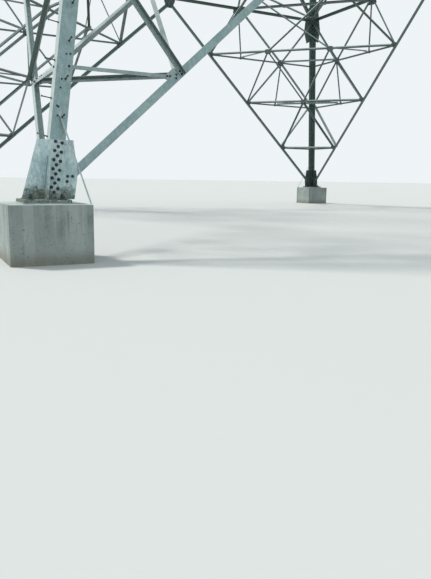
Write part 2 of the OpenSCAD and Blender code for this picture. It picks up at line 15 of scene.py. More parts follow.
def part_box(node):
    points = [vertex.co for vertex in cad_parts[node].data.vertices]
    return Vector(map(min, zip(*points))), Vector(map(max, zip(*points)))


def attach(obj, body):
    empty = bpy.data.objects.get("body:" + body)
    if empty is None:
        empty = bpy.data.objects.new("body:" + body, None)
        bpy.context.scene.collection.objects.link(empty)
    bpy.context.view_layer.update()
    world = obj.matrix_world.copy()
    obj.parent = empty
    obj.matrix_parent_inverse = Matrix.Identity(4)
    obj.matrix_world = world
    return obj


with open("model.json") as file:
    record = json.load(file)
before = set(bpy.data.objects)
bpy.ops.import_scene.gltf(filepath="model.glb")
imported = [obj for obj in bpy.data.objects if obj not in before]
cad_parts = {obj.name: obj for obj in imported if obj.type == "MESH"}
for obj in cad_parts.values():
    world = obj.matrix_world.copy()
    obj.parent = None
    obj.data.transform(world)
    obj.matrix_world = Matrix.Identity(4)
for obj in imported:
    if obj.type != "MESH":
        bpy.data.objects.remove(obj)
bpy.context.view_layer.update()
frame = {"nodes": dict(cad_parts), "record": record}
nodes = frame["nodes"]
slot_of = {row["node"]: row["material_slot"] for row in frame["record"]["subparts"]}

# %% [markdown]
# ## Camera
# The photograph was taken from about chest height, close to one foot, with the far foot on the right.
# The same place and turn could be found by trial, but a camera solved from the joints of the
# lattice lands each bar where the photograph has it. The turn is built from three angles.

# %% Camera at the photograph's place
EYE = Vector((-11.486, -19.18, 1.3175))
HEADING = math.radians(27.28)
DIP = math.radians(10.583)
ROLL = math.radians(-0.865)
FOCAL_MM = 36.85
SIGHT = 2000


def new_object(name, data):
    """Object with its data, linked into the scene."""
    made = bpy.data.objects.new(name, data)
    bpy.context.scene.collection.objects.link(made)
    return made


def camera_matrix(eye, heading, dip, roll):
    """Place and turn of a camera that looks along a heading, tipped down and rolled."""
    flat = math.cos(dip)
    forward = Vector((math.sin(heading) * flat, math.cos(heading) * flat, -math.sin(dip)))
    level = Vector((math.cos(heading), -math.sin(heading), 0))
    down = forward.cross(level)
    right = math.cos(roll) * level + math.sin(roll) * down
    low = math.cos(roll) * down - math.sin(roll) * level
    turn = Matrix((right, -low, -forward)).transposed()
    return Matrix.Translation(eye) @ turn.to_4x4()


camera_data = bpy.data.cameras.new("foot_camera")
camera_data.lens = FOCAL_MM
camera_data.clip_end = SIGHT
camera = new_object("foot_camera", camera_data)
camera.matrix_world = camera_matrix(EYE, HEADING, DIP, ROLL)
bpy.context.scene.camera = camera
print("camera lens", camera_data.lens)

# %% [markdown]
# ## Short ways to join nodes
# Every colour from here on, of the floor and the sky too, comes from a small tree of nodes. They
# could be added and linked one by one, but each link takes a line of its own. This helper adds a
# node, sets or links its inputs and gives back its output, so that a tree reads like a sum.

# %% Node helper: sums and colours
class Wires:
    """Short ways to add and join nodes in one tree."""

    def __init__(self, tree):
        self.tree = tree

    def put(self, target, value):
        """Link a socket to the target, or set the target to a plain value."""
        if isinstance(value, bpy.types.NodeSocket):
            self.tree.links.new(value, target)
        else:
            target.default_value = value

    def math(self, operation, a, b=None, c=None):
        node = self.tree.nodes.new("ShaderNodeMath")
        node.operation = operation
        for target, value in zip(node.inputs, (a, b, c)):
            if value is not None:
                self.put(target, value)
        return node.outputs[0]

    def times(self, a, b):
        return self.math("MULTIPLY", a, b)

    def minus(self, a, b):
        return self.math("SUBTRACT", a, b)

    def scaled(self, a, by, plus):
        return self.math("MULTIPLY_ADD", a, by, plus)

    def blend(self, factor, a, b, kind="MIX"):
        node = self.tree.nodes.new("ShaderNodeMix")
        node.data_type = "RGBA"
        node.blend_type = kind
        self.put(node.inputs["Factor"], factor)
        self.put(node.inputs["A"], a)
        self.put(node.inputs["B"], b)
        return node.outputs["Result"]

    def lay(self, colour, over, mask, share):
        """A second colour laid over the first where the mask is, up to a share."""
        return self.blend(self.times(mask, share), colour, over)


def new_finish(name):
    """A material, the helper for its tree, and its shader's input sockets."""
    material = bpy.data.materials.new(name)
    material.use_nodes = True
    tree = material.node_tree
    return material, Wires(tree), tree.nodes["Principled BSDF"].inputs


print("node helper ready for sums and colours")

# %% [markdown]
# ## Floor
# A plain pale floor takes the shadow of the pylon and shows that its piers stand level. A thick slab
# would do as well, but one large grid has no side that could show. It is pale only where the camera
# or a reflection looks, and darker for scattered light, so that it doesn't wash out the steel.

# %% Floor
FLOOR_SIDE = 900
FLOOR_SEEN = (0.50, 0.51, 0.50, 1)
FLOOR_BOUNCE = (0.20, 0.20, 0.19, 1)
FLOOR_ROUGH, FLOOR_GLOSS = 0.95, 0.1


def new_mesh(name, bm):
    """Mesh of a finished bmesh, which is freed."""
    mesh = bpy.data.meshes.new(name)
    bm.to_mesh(mesh)
    bm.free()
    return mesh


def seen_or_lit(w, seen, lit):
    """Colour that is one value to the camera and to reflections, and another to scattered light."""
    ray = w.tree.nodes.new("ShaderNodeLightPath").outputs
    either = w.math("MAXIMUM", ray["Is Camera Ray"], ray["Is Glossy Ray"])
    looked_at = w.math("MAXIMUM", either, ray["Is Transmission Ray"])
    return w.blend(looked_at, lit, seen)


floor_material, w, shader = new_finish("pale_floor")
shader["Roughness"].default_value = FLOOR_ROUGH
shader["Specular IOR Level"].default_value = FLOOR_GLOSS
w.put(shader["Base Color"], seen_or_lit(w, FLOOR_SEEN, FLOOR_BOUNCE))
bm = bmesh.new()
bmesh.ops.create_grid(bm, x_segments=1, y_segments=1, size=FLOOR_SIDE / 2)
floor = new_object("floor", new_mesh("floor", bm))
floor.data.materials.append(floor_material)
print("floor", FLOOR_SIDE, "m wide")

# %% [markdown]
# ## Sky
# The pylon stands in the open, so all its steel sees a wide, hazy sky. A painted dome could give that
# light, but one even colour does it with one node. As with the floor, the colour that lights the
# steel is a little bluer and darker than the one that is seen behind it.

# %% Sky
SKY_SEEN = (0.86, 0.90, 0.93, 1)
SKY_LIGHT = (0.72, 0.81, 0.85, 1)
world = bpy.data.worlds.new("hazy_sky")
world.use_nodes = True
sky = world.node_tree.nodes["Background"]
w = Wires(world.node_tree)
w.put(sky.inputs["Color"], seen_or_lit(w, SKY_SEEN, SKY_LIGHT))
sky.inputs["Strength"].default_value = 1.0
bpy.context.scene.world = world
bpy.context.scene.view_settings.view_transform = "Standard"
print("sky made")

# %% [markdown]
# ## Sun
# In the photograph a high sun behind haze makes tops bright, leaves the faces toward the camera in
# soft shade and draws weak shadows. A ring of lamps could copy that, but one sun with a wide disc
# does it alone. Its strength is set so that no pale surface clips to white.

# %% Sun
SUN_FROM = Vector((-0.42, 0.45, 0.79))
SUN_STRENGTH = 3.1
SUN_DISC = math.radians(9)
SUN_COLOUR = (1.0, 0.97, 0.92)
sun_data = bpy.data.lights.new("high_sun", "SUN")
sun_data.energy = SUN_STRENGTH
sun_data.angle = SUN_DISC
sun_data.color = SUN_COLOUR
sun = new_object("high_sun", sun_data)
sun.matrix_world = SUN_FROM.to_track_quat("Z", "Y").to_matrix().to_4x4()
print("sun from", tuple(round(v, 2) for v in SUN_FROM))

# %% [markdown]
# ## Places and masks
# A pattern has to know where it lies on the real steel. It could read a map of each surface, but the
# bars have none, so it reads the object's own metres. A ramp then turns a number into a mask with
# soft borders. The node helper is opened again here, to take in what places and masks need.

# %% Node helper: places and masks
class Wires(Wires):
    """The node helper, with vectors, places and masks."""

    def vector(self, operation, a, b=None):
        """Vector maths: gives a number for a dot product, else a vector."""
        node = self.tree.nodes.new("ShaderNodeVectorMath")
        node.operation = operation
        self.put(node.inputs[0], a)
        if b is not None:
            self.put(node.inputs[1], b)
        return node.outputs["Value" if operation == "DOT_PRODUCT" else "Vector"]

    def axes(self, vector):
        """The X, Y and Z of a vector, by name."""
        node = self.tree.nodes.new("ShaderNodeSeparateXYZ")
        self.put(node.inputs[0], vector)
        return node.outputs

    def ramp(self, value, low, high):
        """Value mapped from low..high to 0..1, smooth and clamped."""
        node = self.tree.nodes.new("ShaderNodeMapRange")
        node.interpolation_type = "SMOOTHSTEP"
        self.put(node.inputs["Value"], value)
        self.put(node.inputs["From Min"], low)
        self.put(node.inputs["From Max"], high)
        return node.outputs["Result"]

    def metres(self, scale=(1, 1, 1)):
        """Object coordinates, stretched by a scale for each axis."""
        place = self.tree.nodes.new("ShaderNodeTexCoord")
        mapping = self.tree.nodes.new("ShaderNodeMapping")
        mapping.inputs["Scale"].default_value = scale
        self.tree.links.new(place.outputs["Object"], mapping.inputs["Vector"])
        return mapping.outputs["Vector"]


print("node helper ready for places and masks")

# %% [markdown]
# ## Noises, cells and groups
# Nearly all weathering is one of two patterns: noise for clouds, runs and dirt, or cells for crystals
# and pores. Both take how many fit in a metre, which is easier to judge than a scale without a unit.
# A whole effect can also be placed as one group, and what stands out or lies deeper ends in a bump.

# %% Node helper: patterns
class Wires(Wires):
    """The node helper, with noises, cells, groups and bumps."""

    def noise(self, vector, per_metre, detail=4.0, rough=0.55):
        node = self.tree.nodes.new("ShaderNodeTexNoise")
        self.put(node.inputs["Vector"], vector)
        self.put(node.inputs["Scale"], per_metre)
        node.inputs["Detail"].default_value = detail
        node.inputs["Roughness"].default_value = rough
        return node.outputs["Fac"]

    def cells(self, vector, per_metre):
        node = self.tree.nodes.new("ShaderNodeTexVoronoi")
        self.put(node.inputs["Vector"], vector)
        self.put(node.inputs["Scale"], per_metre)
        return node.outputs

    def group(self, tree, **values):
        """A node group with some of its inputs set, where _ stands for a space; gives its outputs."""
        node = self.tree.nodes.new("ShaderNodeGroup")
        node.node_tree = tree
        for label, value in values.items():
            self.put(node.inputs[label.replace("_", " ")], value)
        return node.outputs

    def bump(self, shader, height, strength, distance):
        """Bump on a shader's normal; the distance is in metres."""
        node = self.tree.nodes.new("ShaderNodeBump")
        node.inputs["Strength"].default_value = strength
        node.inputs["Distance"].default_value = distance
        self.put(node.inputs["Height"], height)
        self.put(shader["Normal"], node.outputs["Normal"])


print("node helper ready for patterns")

# %% [markdown]
# ## Effects that several finishes share
# Weathered zinc is not one grey: crystals, cloudy bloom, rain runs, rubbed edges and a dark film,
# partly grime and partly painted shade, lie over each other, with a painted sheen on some faces.
# Painted pictures could hold them, but a picture stretches on long bars. Node groups that read the
# object's own metres keep one scale from bolt to leg, and named inputs let each finish set its own
# amounts.

# %% Group helper
def new_group(name, inputs, outputs):
    """A node group of plain numbers: the helper for its tree, its inputs and its outputs."""
    tree = bpy.data.node_groups.new(name, "ShaderNodeTree")
    for label, value in inputs.items():
        socket = tree.interface.new_socket(label, in_out="INPUT", socket_type="NodeSocketFloat")
        socket.default_value = value
    for label in outputs:
        tree.interface.new_socket(label, in_out="OUTPUT", socket_type="NodeSocketFloat")
    ins = tree.nodes.new("NodeGroupInput").outputs
    outs = tree.nodes.new("NodeGroupOutput").inputs
    return Wires(tree), ins, outs


print("group helper ready")

# %% [markdown]
# ## Zinc crystals
# Hot-dip zinc sets in flat crystals some 15 mm wide, the spangle, and each one mirrors a slightly
# different grey. They could be drawn as facets, but they are as flat as paint, so a pattern of cells
# gives each crystal one tone. A fine noise is the height of the zinc's skin.

# %% Group: zinc crystals
GREY_SHUFFLE = 7.31
SKIN_PER_METRE = 160.0


def make_crystals():
    """A grey for each crystal, and the height of the skin."""
    w, ins, outs = new_group("zinc_crystals", {"Cells per metre": 70.0}, ("Tone", "Height"))
    crystal = w.cells(w.metres(), ins["Cells per metre"])["Color"]
    w.put(outs["Tone"], w.math("FRACT", w.times(crystal, GREY_SHUFFLE)))
    w.put(outs["Height"], w.noise(w.metres(), SKIN_PER_METRE, detail=3.0))
    return w.tree


CRYSTALS = make_crystals()
print(CRYSTALS.name, len(CRYSTALS.nodes), "nodes")

# %% [markdown]
# ## Cloudy bloom
# Zinc that has been wet for years carries a white bloom, in soft clouds from a hand to an arm wide.
# One noise would look like smoke, so a wide one sets where the clouds are, and a finer, slightly
# upright one breaks them.

# %% Group: cloudy bloom
def make_bloom():
    """Soft clouds, broken by finer patches."""
    w, ins, outs = new_group("zinc_bloom", {"Clouds per metre": 2.3}, ("Mask",))
    wide = w.noise(w.metres(), ins["Clouds per metre"], detail=5.0, rough=0.6)
    fine = w.noise(w.metres((1, 1, 0.5)), per_metre=19.0, detail=6.0, rough=0.65)
    both = w.scaled(fine, by=0.6, plus=w.times(wide, 0.55))
    w.put(outs["Mask"], w.ramp(both, low=0.44, high=0.76))
    return w.tree


BLOOM = make_bloom()
print(BLOOM.name, len(BLOOM.nodes), "nodes")

# %% [markdown]
# ## Rain runs
# Rain leaves upright streaks below every bolt and ledge. They could be painted under each bolt, but
# there are over a thousand. A noise that is drawn out along Z gives streaks everywhere, and a second,
# wide noise takes them away in places, so that they look as if they had a cause.

# %% Group: rain runs
DRAWN_OUT = 0.06


def make_runs():
    """Upright streaks: a higher cover lets more of the noise through."""
    w, ins, outs = new_group("rain_runs", {"Per metre": 22.0, "Cover": 0.5}, ("Mask",))
    drawn = w.noise(w.metres((1, 1, DRAWN_OUT)), ins["Per metre"], detail=5.0, rough=0.6)
    start = w.minus(0.78, w.times(ins["Cover"], 0.4))
    streak = w.ramp(drawn, start, w.math("ADD", start, 0.14))
    broken = w.ramp(w.noise(w.metres(), per_metre=1.7), low=0.35, high=0.65)
    w.put(outs["Mask"], w.times(streak, broken))
    return w.tree


RUNS = make_runs()
print(RUNS.name, len(RUNS.nodes), "nodes")

# %% [markdown]
# ## Worn edges
# Handling and weather rub the edges of angles and piers first. Edges could be picked by hand in each
# mesh, but the Bevel node finds them all: its rounded normal leaves the flat one only near an edge.
# A noise chips the line, because wear is never even.

# %% Group: edges
def make_edges():
    """Mask of the chipped line along each edge."""
    w, ins, outs = new_group("worn_edges", {"Radius": 0.006}, ("Mask",))
    rounded = w.tree.nodes.new("ShaderNodeBevel")
    rounded.samples = 3
    w.put(rounded.inputs["Radius"], ins["Radius"])
    flat = w.tree.nodes.new("ShaderNodeNewGeometry").outputs["True Normal"]
    turned = w.minus(1.0, w.vector("DOT_PRODUCT", rounded.outputs["Normal"], flat))
    chipped = w.ramp(w.noise(w.metres(), per_metre=34.0), low=0.36, high=0.6)
    w.put(outs["Mask"], w.times(w.ramp(turned, low=0.02, high=0.22), chipped))
    return w.tree


EDGES = make_edges()
print(EDGES.name, len(EDGES.nodes), "nodes")

# %% [markdown]
# ## Film, painted shade and dust by facing
# Rain can't wash faces that look down or toward the pylon's middle, so they keep a dark film, which
# is also painted shade, because these faces get less light. Faces that look up collect dust. Each bar
# could be painted by its place, but its normal already says where it looks. The same group tells the
# faces on the left, which take painted shade on the shoes and a painted sheen on the bars.

# %% Group: film, painted shade and dust by facing
def make_masks_by_facing():
    """Four masks with ragged borders: looking down, inward, left and up."""
    w, ins, outs = new_group("masks_by_facing", {"Ragged": 0.16}, ("Film and shade", "Inside", "Left", "Dust"))
    normal = w.tree.nodes.new("ShaderNodeNewGeometry").outputs["True Normal"]
    way = w.axes(normal)
    patch = w.times(w.noise(w.metres(), per_metre=5.0, detail=5.0), ins["Ragged"])
    up = w.math("ADD", way["Z"], w.minus(patch, w.times(ins["Ragged"], 0.5)))
    w.put(outs["Film and shade"], w.ramp(w.times(up, -1.0), low=0.22, high=0.5))
    w.put(outs["Dust"], w.ramp(up, low=0.45, high=0.95))
    # The inward mask below drives painted shade on faces toward the pylon's middle.
    outward = w.vector("NORMALIZE", w.metres((1, 1, 0)))
    inward = w.minus(patch, w.vector("DOT_PRODUCT", outward, normal))
    w.put(outs["Inside"], w.ramp(inward, low=0.25, high=0.75))
    # Faces that look left: painted shade on the shoes, painted sheen on the bars.
    w.put(outs["Left"], w.ramp(w.scaled(way["X"], by=-1.0, plus=patch), low=0.7, high=0.95))
    return w.tree


BY_FACING = make_masks_by_facing()
print(BY_FACING.name, len(BY_FACING.nodes), "nodes")

# %% [markdown]
# ## Splash above the piers
# Just above each pier rain splashes dirt against the shoe and water stands on the base plate. The
# dirt could be a skin of its own, but it has no thickness. The mask fades with the height over the
# pier's top, a noise makes its border ragged, and a finer one leaves barer spots in it.

# %% Group: splash above the piers
def make_splash():
    """Ragged mask from a height upward."""
    w, ins, outs = new_group("foot_splash", {"From": 0.9, "Reach": 0.5}, ("Mask",))
    height = w.axes(w.metres())["Z"]
    rise = w.math("DIVIDE", w.minus(height, ins["From"]), ins["Reach"])
    ragged = w.noise(w.metres(), per_metre=11.0, detail=6.0, rough=0.65)
    reached = w.ramp(w.minus(w.times(ragged, 1.5), rise), low=0.1, high=0.55)
    bare = w.ramp(w.noise(w.metres(), per_metre=31.0, detail=6.0, rough=0.7), low=0.42, high=0.6)
    w.put(outs["Mask"], w.times(reached, w.scaled(bare, by=-0.35, plus=1.0)))
    return w.tree


SPLASH = make_splash()
print(SPLASH.name, len(SPLASH.nodes), "nodes")

# %% [markdown]
# ## Weather, painted shade and painted sheen on zinc
# Years in the rain put layers on the zinc: runs and finer trickles, a dark film where it is
# sheltered, bright rubbed edges and dust on ledges. The film on faces that look down or inward, and
# on the shoes' faces that look left, is also painted shade. Each layer could be a shader of its own,
# but one colour with each layer laid over it is quicker and exports well. On open left faces a
# painted sheen, pale as if lit and mirroring the sky, lies in upright patches.

# %% Layers on the zinc
RUN_SHARE, TRICKLE_SHARE, FILM_AND_SHADE_SHARE = 0.55, 0.3, 0.7
WORN_SHARE, DUST_SHARE = 0.35, 0.35
TRICKLES_PER_METRE = 75.0
DUST_COLOUR = (0.33, 0.32, 0.26, 1)


def painted_sheen_mask(w, by_facing):
    """Painted sheen: upright patches on faces that look left but not inward."""
    open_side = w.minus(by_facing["Left"], by_facing["Inside"])
    patches = w.scaled(w.noise(w.metres((1, 1, 0.4)), per_metre=14.0, detail=6.0), by=1.3, plus=0.1)
    return w.times(w.ramp(open_side, low=0.0, high=1.0), patches)


def weather(w, colour, pale, film_and_shade, by_facing, runs, inside, left):
    """Runs, film that is partly painted shade, rubbed edges and dust, laid over a colour in this order."""
    run = w.group(RUNS, Cover=runs)["Mask"]
    trickle = w.group(RUNS, Per_metre=TRICKLES_PER_METRE, Cover=runs)["Mask"]
    colour = w.lay(colour, film_and_shade, run, RUN_SHARE)
    colour = w.lay(colour, film_and_shade, trickle, TRICKLE_SHARE)
    # Faces that look down take the film colour: partly grime, partly painted shade.
    colour = w.lay(colour, film_and_shade, by_facing["Film and shade"], FILM_AND_SHADE_SHARE)
    # Faces that look inward take the film colour as painted shade, partly a real film.
    colour = w.lay(colour, film_and_shade, by_facing["Inside"], inside)
    # Faces that look left take the film colour as painted shade, on the shoes only.
    if left:
        colour = w.lay(colour, film_and_shade, by_facing["Left"], left)
    colour = w.lay(colour, pale, w.group(EDGES)["Mask"], WORN_SHARE)
    return w.lay(colour, DUST_COLOUR, by_facing["Dust"], DUST_SHARE)


print("layers ready")

# %% [markdown]
# ## Grime and rust
# The shoes' feet are splashed with olive dirt, which holds water, so rust starts in it as small spots.
# Bolts and straps rust in fine freckles all over, because their zinc is thinner. A rust texture
# could be painted, but two noises at different scales give both.

# %% Dirt at the foot and freckles
PIER_TOP = 0.9
SPLASH_REACH = 0.5
SPOT_SHARE = 0.6
GRIME_COLOUR = (0.07, 0.10, 0.07, 1)
RUST_COLOUR = (0.20, 0.075, 0.03, 1)


def foot_dirt(w, colour, splash):
    """Grime above the pier, with spots of rust in it."""
    wet = w.group(SPLASH, From=PIER_TOP, Reach=SPLASH_REACH)["Mask"]
    colour = w.lay(colour, GRIME_COLOUR, wet, splash)
    spots = w.ramp(w.noise(w.metres(), per_metre=26.0, detail=5.0), low=0.56, high=0.68)
    return w.lay(colour, RUST_COLOUR, w.times(wet, spots), splash * SPOT_SHARE)


def freckled(w, colour, rust):
    """Fine freckles of rust."""
    freckles = w.ramp(w.noise(w.metres(), per_metre=75.0, detail=6.0), low=0.5, high=0.68)
    return w.lay(colour, RUST_COLOUR, freckles, rust)


print("grime up to", SPLASH_REACH, "m above the piers")

# %% [markdown]
# ## Weathered zinc
# All the steel is hot-dip galvanised and some years old: dull blue grey, paler where bloom lies,
# darker where it is sheltered and where shade is painted in. A full metal would mirror the white sky
# and lose the greys, so the zinc is only partly metallic, as an oxide film is. Bloom and dust also
# make it duller.

# %% Zinc finish
ZINC_METALLIC = 0.3
# Pale colour of the painted sheen on open left faces.
SHEEN_COLOUR = (0.60, 0.64, 0.59, 1)
BLOOM_DULLS, CRYSTAL_DULLS, DUST_DULLS = 0.18, 0.08, 0.3
SKIN_STRENGTH, SKIN_HEIGHT = 0.25, 0.002


def zinc(name, pale, deep, film_and_shade, crystals=70.0, runs=0.5, rough=0.42,
         inside=0.8, left=0.0, painted_sheen=0.0, splash=0.0, rust=0.0):
    """One zinc: its pale, deep and film colours, and how much of each effect, painted shade and painted
    sheen among them, lies on it.
    """
    material, w, shader = new_finish(name)
    shader["Metallic"].default_value = ZINC_METALLIC
    spangle = w.group(CRYSTALS, Cells_per_metre=crystals)
    bloom = w.group(BLOOM)["Mask"]
    by_facing = w.group(BY_FACING)
    colour = w.blend(bloom, deep, pale)
    colour = w.blend(1.0, colour, w.scaled(spangle["Tone"], by=0.2, plus=0.9), "MULTIPLY")
    # Painted sheen on open left faces.
    if painted_sheen:
        colour = w.lay(colour, SHEEN_COLOUR, painted_sheen_mask(w, by_facing), painted_sheen)
    colour = weather(w, colour, pale, film_and_shade, by_facing, runs, inside, left)
    if splash:
        colour = foot_dirt(w, colour, splash)
    if rust:
        colour = freckled(w, colour, rust)
    w.put(shader["Base Color"], colour)
    dull = w.scaled(bloom, by=BLOOM_DULLS, plus=rough)
    dull = w.scaled(spangle["Tone"], by=CRYSTAL_DULLS, plus=dull)
    w.put(shader["Roughness"], w.scaled(by_facing["Dust"], by=DUST_DULLS, plus=dull))
    w.bump(shader, w.math("ADD", spangle["Height"], bloom), SKIN_STRENGTH, SKIN_HEIGHT)
    return material


print("zinc recipe ready")

# %% [markdown]
# ## A mix for each kind of steel
# Thick legs cool slowly and take large, smooth crystals; thin bars, straps and bolts take small ones.
# The shoes are palest, where the zinc has gone matt, and the bolts are nearly black with old grease.
# One zinc for all would save work, but in the photograph each kind keeps its own grey.

# %% Zinc mixes
# The film colour of each mix is also the colour of its painted shade.
zincs = {
    # The legs take the most painted sheen on their open left faces.
    "leg_steel": zinc(
        "leg_zinc", (0.38, 0.50, 0.49, 1), (0.245, 0.355, 0.36, 1), (0.065, 0.105, 0.085, 1),
        rough=0.33, painted_sheen=0.65,
    ),
    "bracing_steel": zinc(
        "bracing_zinc", (0.42, 0.51, 0.50, 1), (0.27, 0.35, 0.345, 1), (0.08, 0.115, 0.095, 1),
        crystals=90.0, rough=0.46, inside=0.3, painted_sheen=0.3,
    ),
    # The shoes take the most painted shade, on faces that look inward and on faces that look left.
    "shoe_steel": zinc(
        "shoe_zinc", (0.70, 0.82, 0.81, 1), (0.37, 0.51, 0.53, 1), (0.05, 0.08, 0.07, 1),
        crystals=55.0, runs=0.6, inside=0.95, left=0.5, splash=0.95,
    ),
    "plate_steel": zinc(
        "plate_zinc", (0.48, 0.57, 0.56, 1), (0.33, 0.41, 0.41, 1), (0.05, 0.075, 0.065, 1),
        crystals=60.0, painted_sheen=0.3,
    ),
    "lug_steel": zinc(
        "lug_zinc", (0.46, 0.55, 0.54, 1), (0.34, 0.42, 0.41, 1), (0.13, 0.17, 0.15, 1),
        crystals=90.0, rough=0.46, inside=0.2,
    ),
    "strap_steel": zinc(
        "strap_zinc", (0.56, 0.66, 0.65, 1), (0.38, 0.47, 0.47, 1), (0.12, 0.15, 0.13, 1),
        crystals=110.0, rust=0.05,
    ),
    "bolt_steel": zinc(
        "bolt_zinc", (0.055, 0.08, 0.085, 1), (0.016, 0.027, 0.030, 1), (0.012, 0.018, 0.017, 1),
        crystals=160.0, rust=0.06,
    ),
}
print("zinc finishes:", ", ".join(zincs))

# %% [markdown]
# ## Concrete: boards, paste and pores
# The piers were cast in upright boards a hand and a half wide, so each side shows upright bands, a
# little lighter or darker, with small pores where air was caught. The bands could be cut in the
# mesh, but they are thinner than a millimetre, so colour and bump do it.

# %% Boards, paste and pores
BOARD_W = 0.15
PASTE_PALE = (0.46, 0.515, 0.48, 1)
PASTE_DARK = (0.31, 0.36, 0.345, 1)


def boards(w, place):
    """The tone of each board, and the seam between two boards."""
    across = w.math("DIVIDE", w.math("ADD", place["X"], place["Y"]), BOARD_W)
    board = w.tree.nodes.new("ShaderNodeTexWhiteNoise")
    board.noise_dimensions = "1D"
    w.put(board.inputs["W"], w.math("FLOOR", across))
    off_middle = w.math("ABSOLUTE", w.minus(w.math("FRACT", across), 0.5))
    return board.outputs["Value"], w.ramp(off_middle, low=0.47, high=0.5)


def paste(w, board, cloud, sand):
    """Cement paste: the boards' tones, clouds over them, and grains of sand in it."""
    tone = w.scaled(board, by=0.22, plus=w.times(cloud, 1.15))
    colour = w.blend(w.ramp(tone, low=0.4, high=0.95), PASTE_DARK, PASTE_PALE)
    return w.blend(1.0, colour, w.scaled(sand, by=0.36, plus=0.82), "MULTIPLY")


def pores(w):
    """Round pits, in some areas only."""
    from_centre = w.cells(w.metres(), per_metre=38.0)["Distance"]
    pit = w.minus(1.0, w.ramp(from_centre, low=0.12, high=0.24))
    some = w.ramp(w.noise(w.metres(), per_metre=7.0, detail=6.0, rough=0.7), low=0.46, high=0.58)
    return w.times(pit, some)


print("boards", BOARD_W, "m wide")

# %% [markdown]
# ## Concrete: stains and splashes
# Rain carries dirt over the top edge and down the sides, dark flecks settle all over, and more dirt
# splashes up from below. The rubbed edges show pale paste. The stains could be one noise, but each
# has its own size and place on the real pier, so each is its own layer.

# %% Stains and splashes
STAIN = (0.10, 0.12, 0.105, 1)
DIRT = (0.20, 0.15, 0.10, 1)
RUBBED_R, RUBBED_SHARE = 0.03, 0.45
TOP_RUN_SHARE, BLOTCH_SHARE, FLECK_SHARE, DIRT_SHARE = 0.6, 0.3, 0.6, 0.55


def stained(w, colour, height):
    """Rubbed edges, dark runs from the top, blotches and flecks."""
    colour = w.lay(colour, PASTE_PALE, w.group(EDGES, Radius=RUBBED_R)["Mask"], RUBBED_SHARE)
    run = w.group(RUNS, Per_metre=13.0, Cover=0.75)["Mask"]
    from_top = w.ramp(height, low=-0.1, high=PIER_TOP)
    colour = w.lay(colour, STAIN, w.times(run, from_top), TOP_RUN_SHARE)
    blotch = w.ramp(w.noise(w.metres(), per_metre=9.0, detail=7.0, rough=0.7), low=0.6, high=0.72)
    colour = w.lay(colour, STAIN, blotch, BLOTCH_SHARE)
    fleck = w.ramp(w.noise(w.metres(), per_metre=23.0, detail=6.0, rough=0.7), low=0.585, high=0.66)
    return w.lay(colour, STAIN, fleck, FLECK_SHARE)


def splashed(w, colour, height, cloud):
    """Dirt on the lowest part, with a cloudy border."""
    ragged = w.minus(height, w.times(cloud, 0.25))
    low = w.minus(1.0, w.ramp(ragged, low=-0.1, high=0.14))
    return w.lay(colour, DIRT, low, DIRT_SHARE)


print("stains ready")

# %% [markdown]
# ## Concrete, put together
# Old concrete is dull all over and rough to the hand: sand stands out, pores and seams lie deeper.
# Displacing the mesh would need millions of faces, so the heights go to a bump. Then every node of
# the frame gets the finish of its slot; the lugs behind the faces stay clean and get their own.

# %% Concrete finish, and the frame's nodes
CONCRETE_GLOSS = 0.25
PORE_SHARE = 0.7
SAND_HEIGHT, SEAM_DEPTH = 0.5, 0.7


def concrete():
    """Weathered board-cast concrete."""
    material, w, shader = new_finish("board_cast_concrete")
    shader["Specular IOR Level"].default_value = CONCRETE_GLOSS
    place = w.axes(w.metres())
    cloud = w.noise(w.metres((1, 1, 0.5)), per_metre=3.2, detail=6.0, rough=0.62)
    sand = w.noise(w.metres(), per_metre=210.0, detail=3.0)
    board, seam = boards(w, place)
    pit = pores(w)
    colour = stained(w, paste(w, board, cloud, sand), place["Z"])
    colour = w.lay(colour, STAIN, pit, PORE_SHARE)
    w.put(shader["Base Color"], splashed(w, colour, place["Z"], cloud))
    w.put(shader["Roughness"], w.scaled(cloud, by=0.2, plus=0.76))
    sunk = w.math("ADD", pit, w.times(seam, SEAM_DEPTH))
    height = w.math("ADD", w.minus(w.times(sand, SAND_HEIGHT), sunk), cloud)
    w.bump(shader, height, strength=0.6, distance=0.004)
    return material


finish_of = dict(zincs, pier_concrete=concrete())
for name, node in nodes.items():
    node.data.materials.clear()
    node.data.materials.append(finish_of["lug_steel" if name == "inner_plates" else slot_of[name]])
print("finished nodes:", len(nodes))

# %% [markdown]
# ## Points of a face
# Every bolt belongs to a joint, so the script has to know where the joints are. They could be measured
# off the meshes, but the lattice follows a few sizes: the spacing of the feet, the lean of the legs
# and the widths of their flanges. Each face gets the same axes: x runs across, y up the slope, and z
# points out of its outer plane, so what is worked out once fits all four.

# %% Points of a face
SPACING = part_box("near_right_pier")[0][0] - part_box("near_left_pier")[0][0]
LEAN = 0.163
SLOPE = math.hypot(1, LEAN)
LEG_W, UPPER_W = 0.25, 0.22


def half(z):
    """Half the heel square at a height above the pier tops."""
    return SPACING / 2 - LEAN * z


def on(x, z):
    """Point of a face at a height above the pier tops."""
    return Vector((x, z * SLOPE, 0))


def from_heel(gauge, y):
    """Point of a face, from the heel of the leg on its left."""
    return Vector((-half(y / SLOPE) + gauge, y, 0))


def leg_point(z):
    """Middle of the lower leg's flange at a height."""
    return on(-half(z) + LEG_W / 2, z)


def upper_point(z):
    """Middle of the upper leg's flange at a height."""
    return on(-half(z) + UPPER_W / 2, z)


def at_level(a, b, z):
    """Where the line from a to b reaches the height z."""
    return a.lerp(b, (z * SLOPE - a.y) / (b.y - a.y))


def bearing(a, b):
    """Angle of the line from a to b in its face."""
    return math.atan2(b.y - a.y, b.x - a.x)


print("feet", round(SPACING, 3), "m apart")

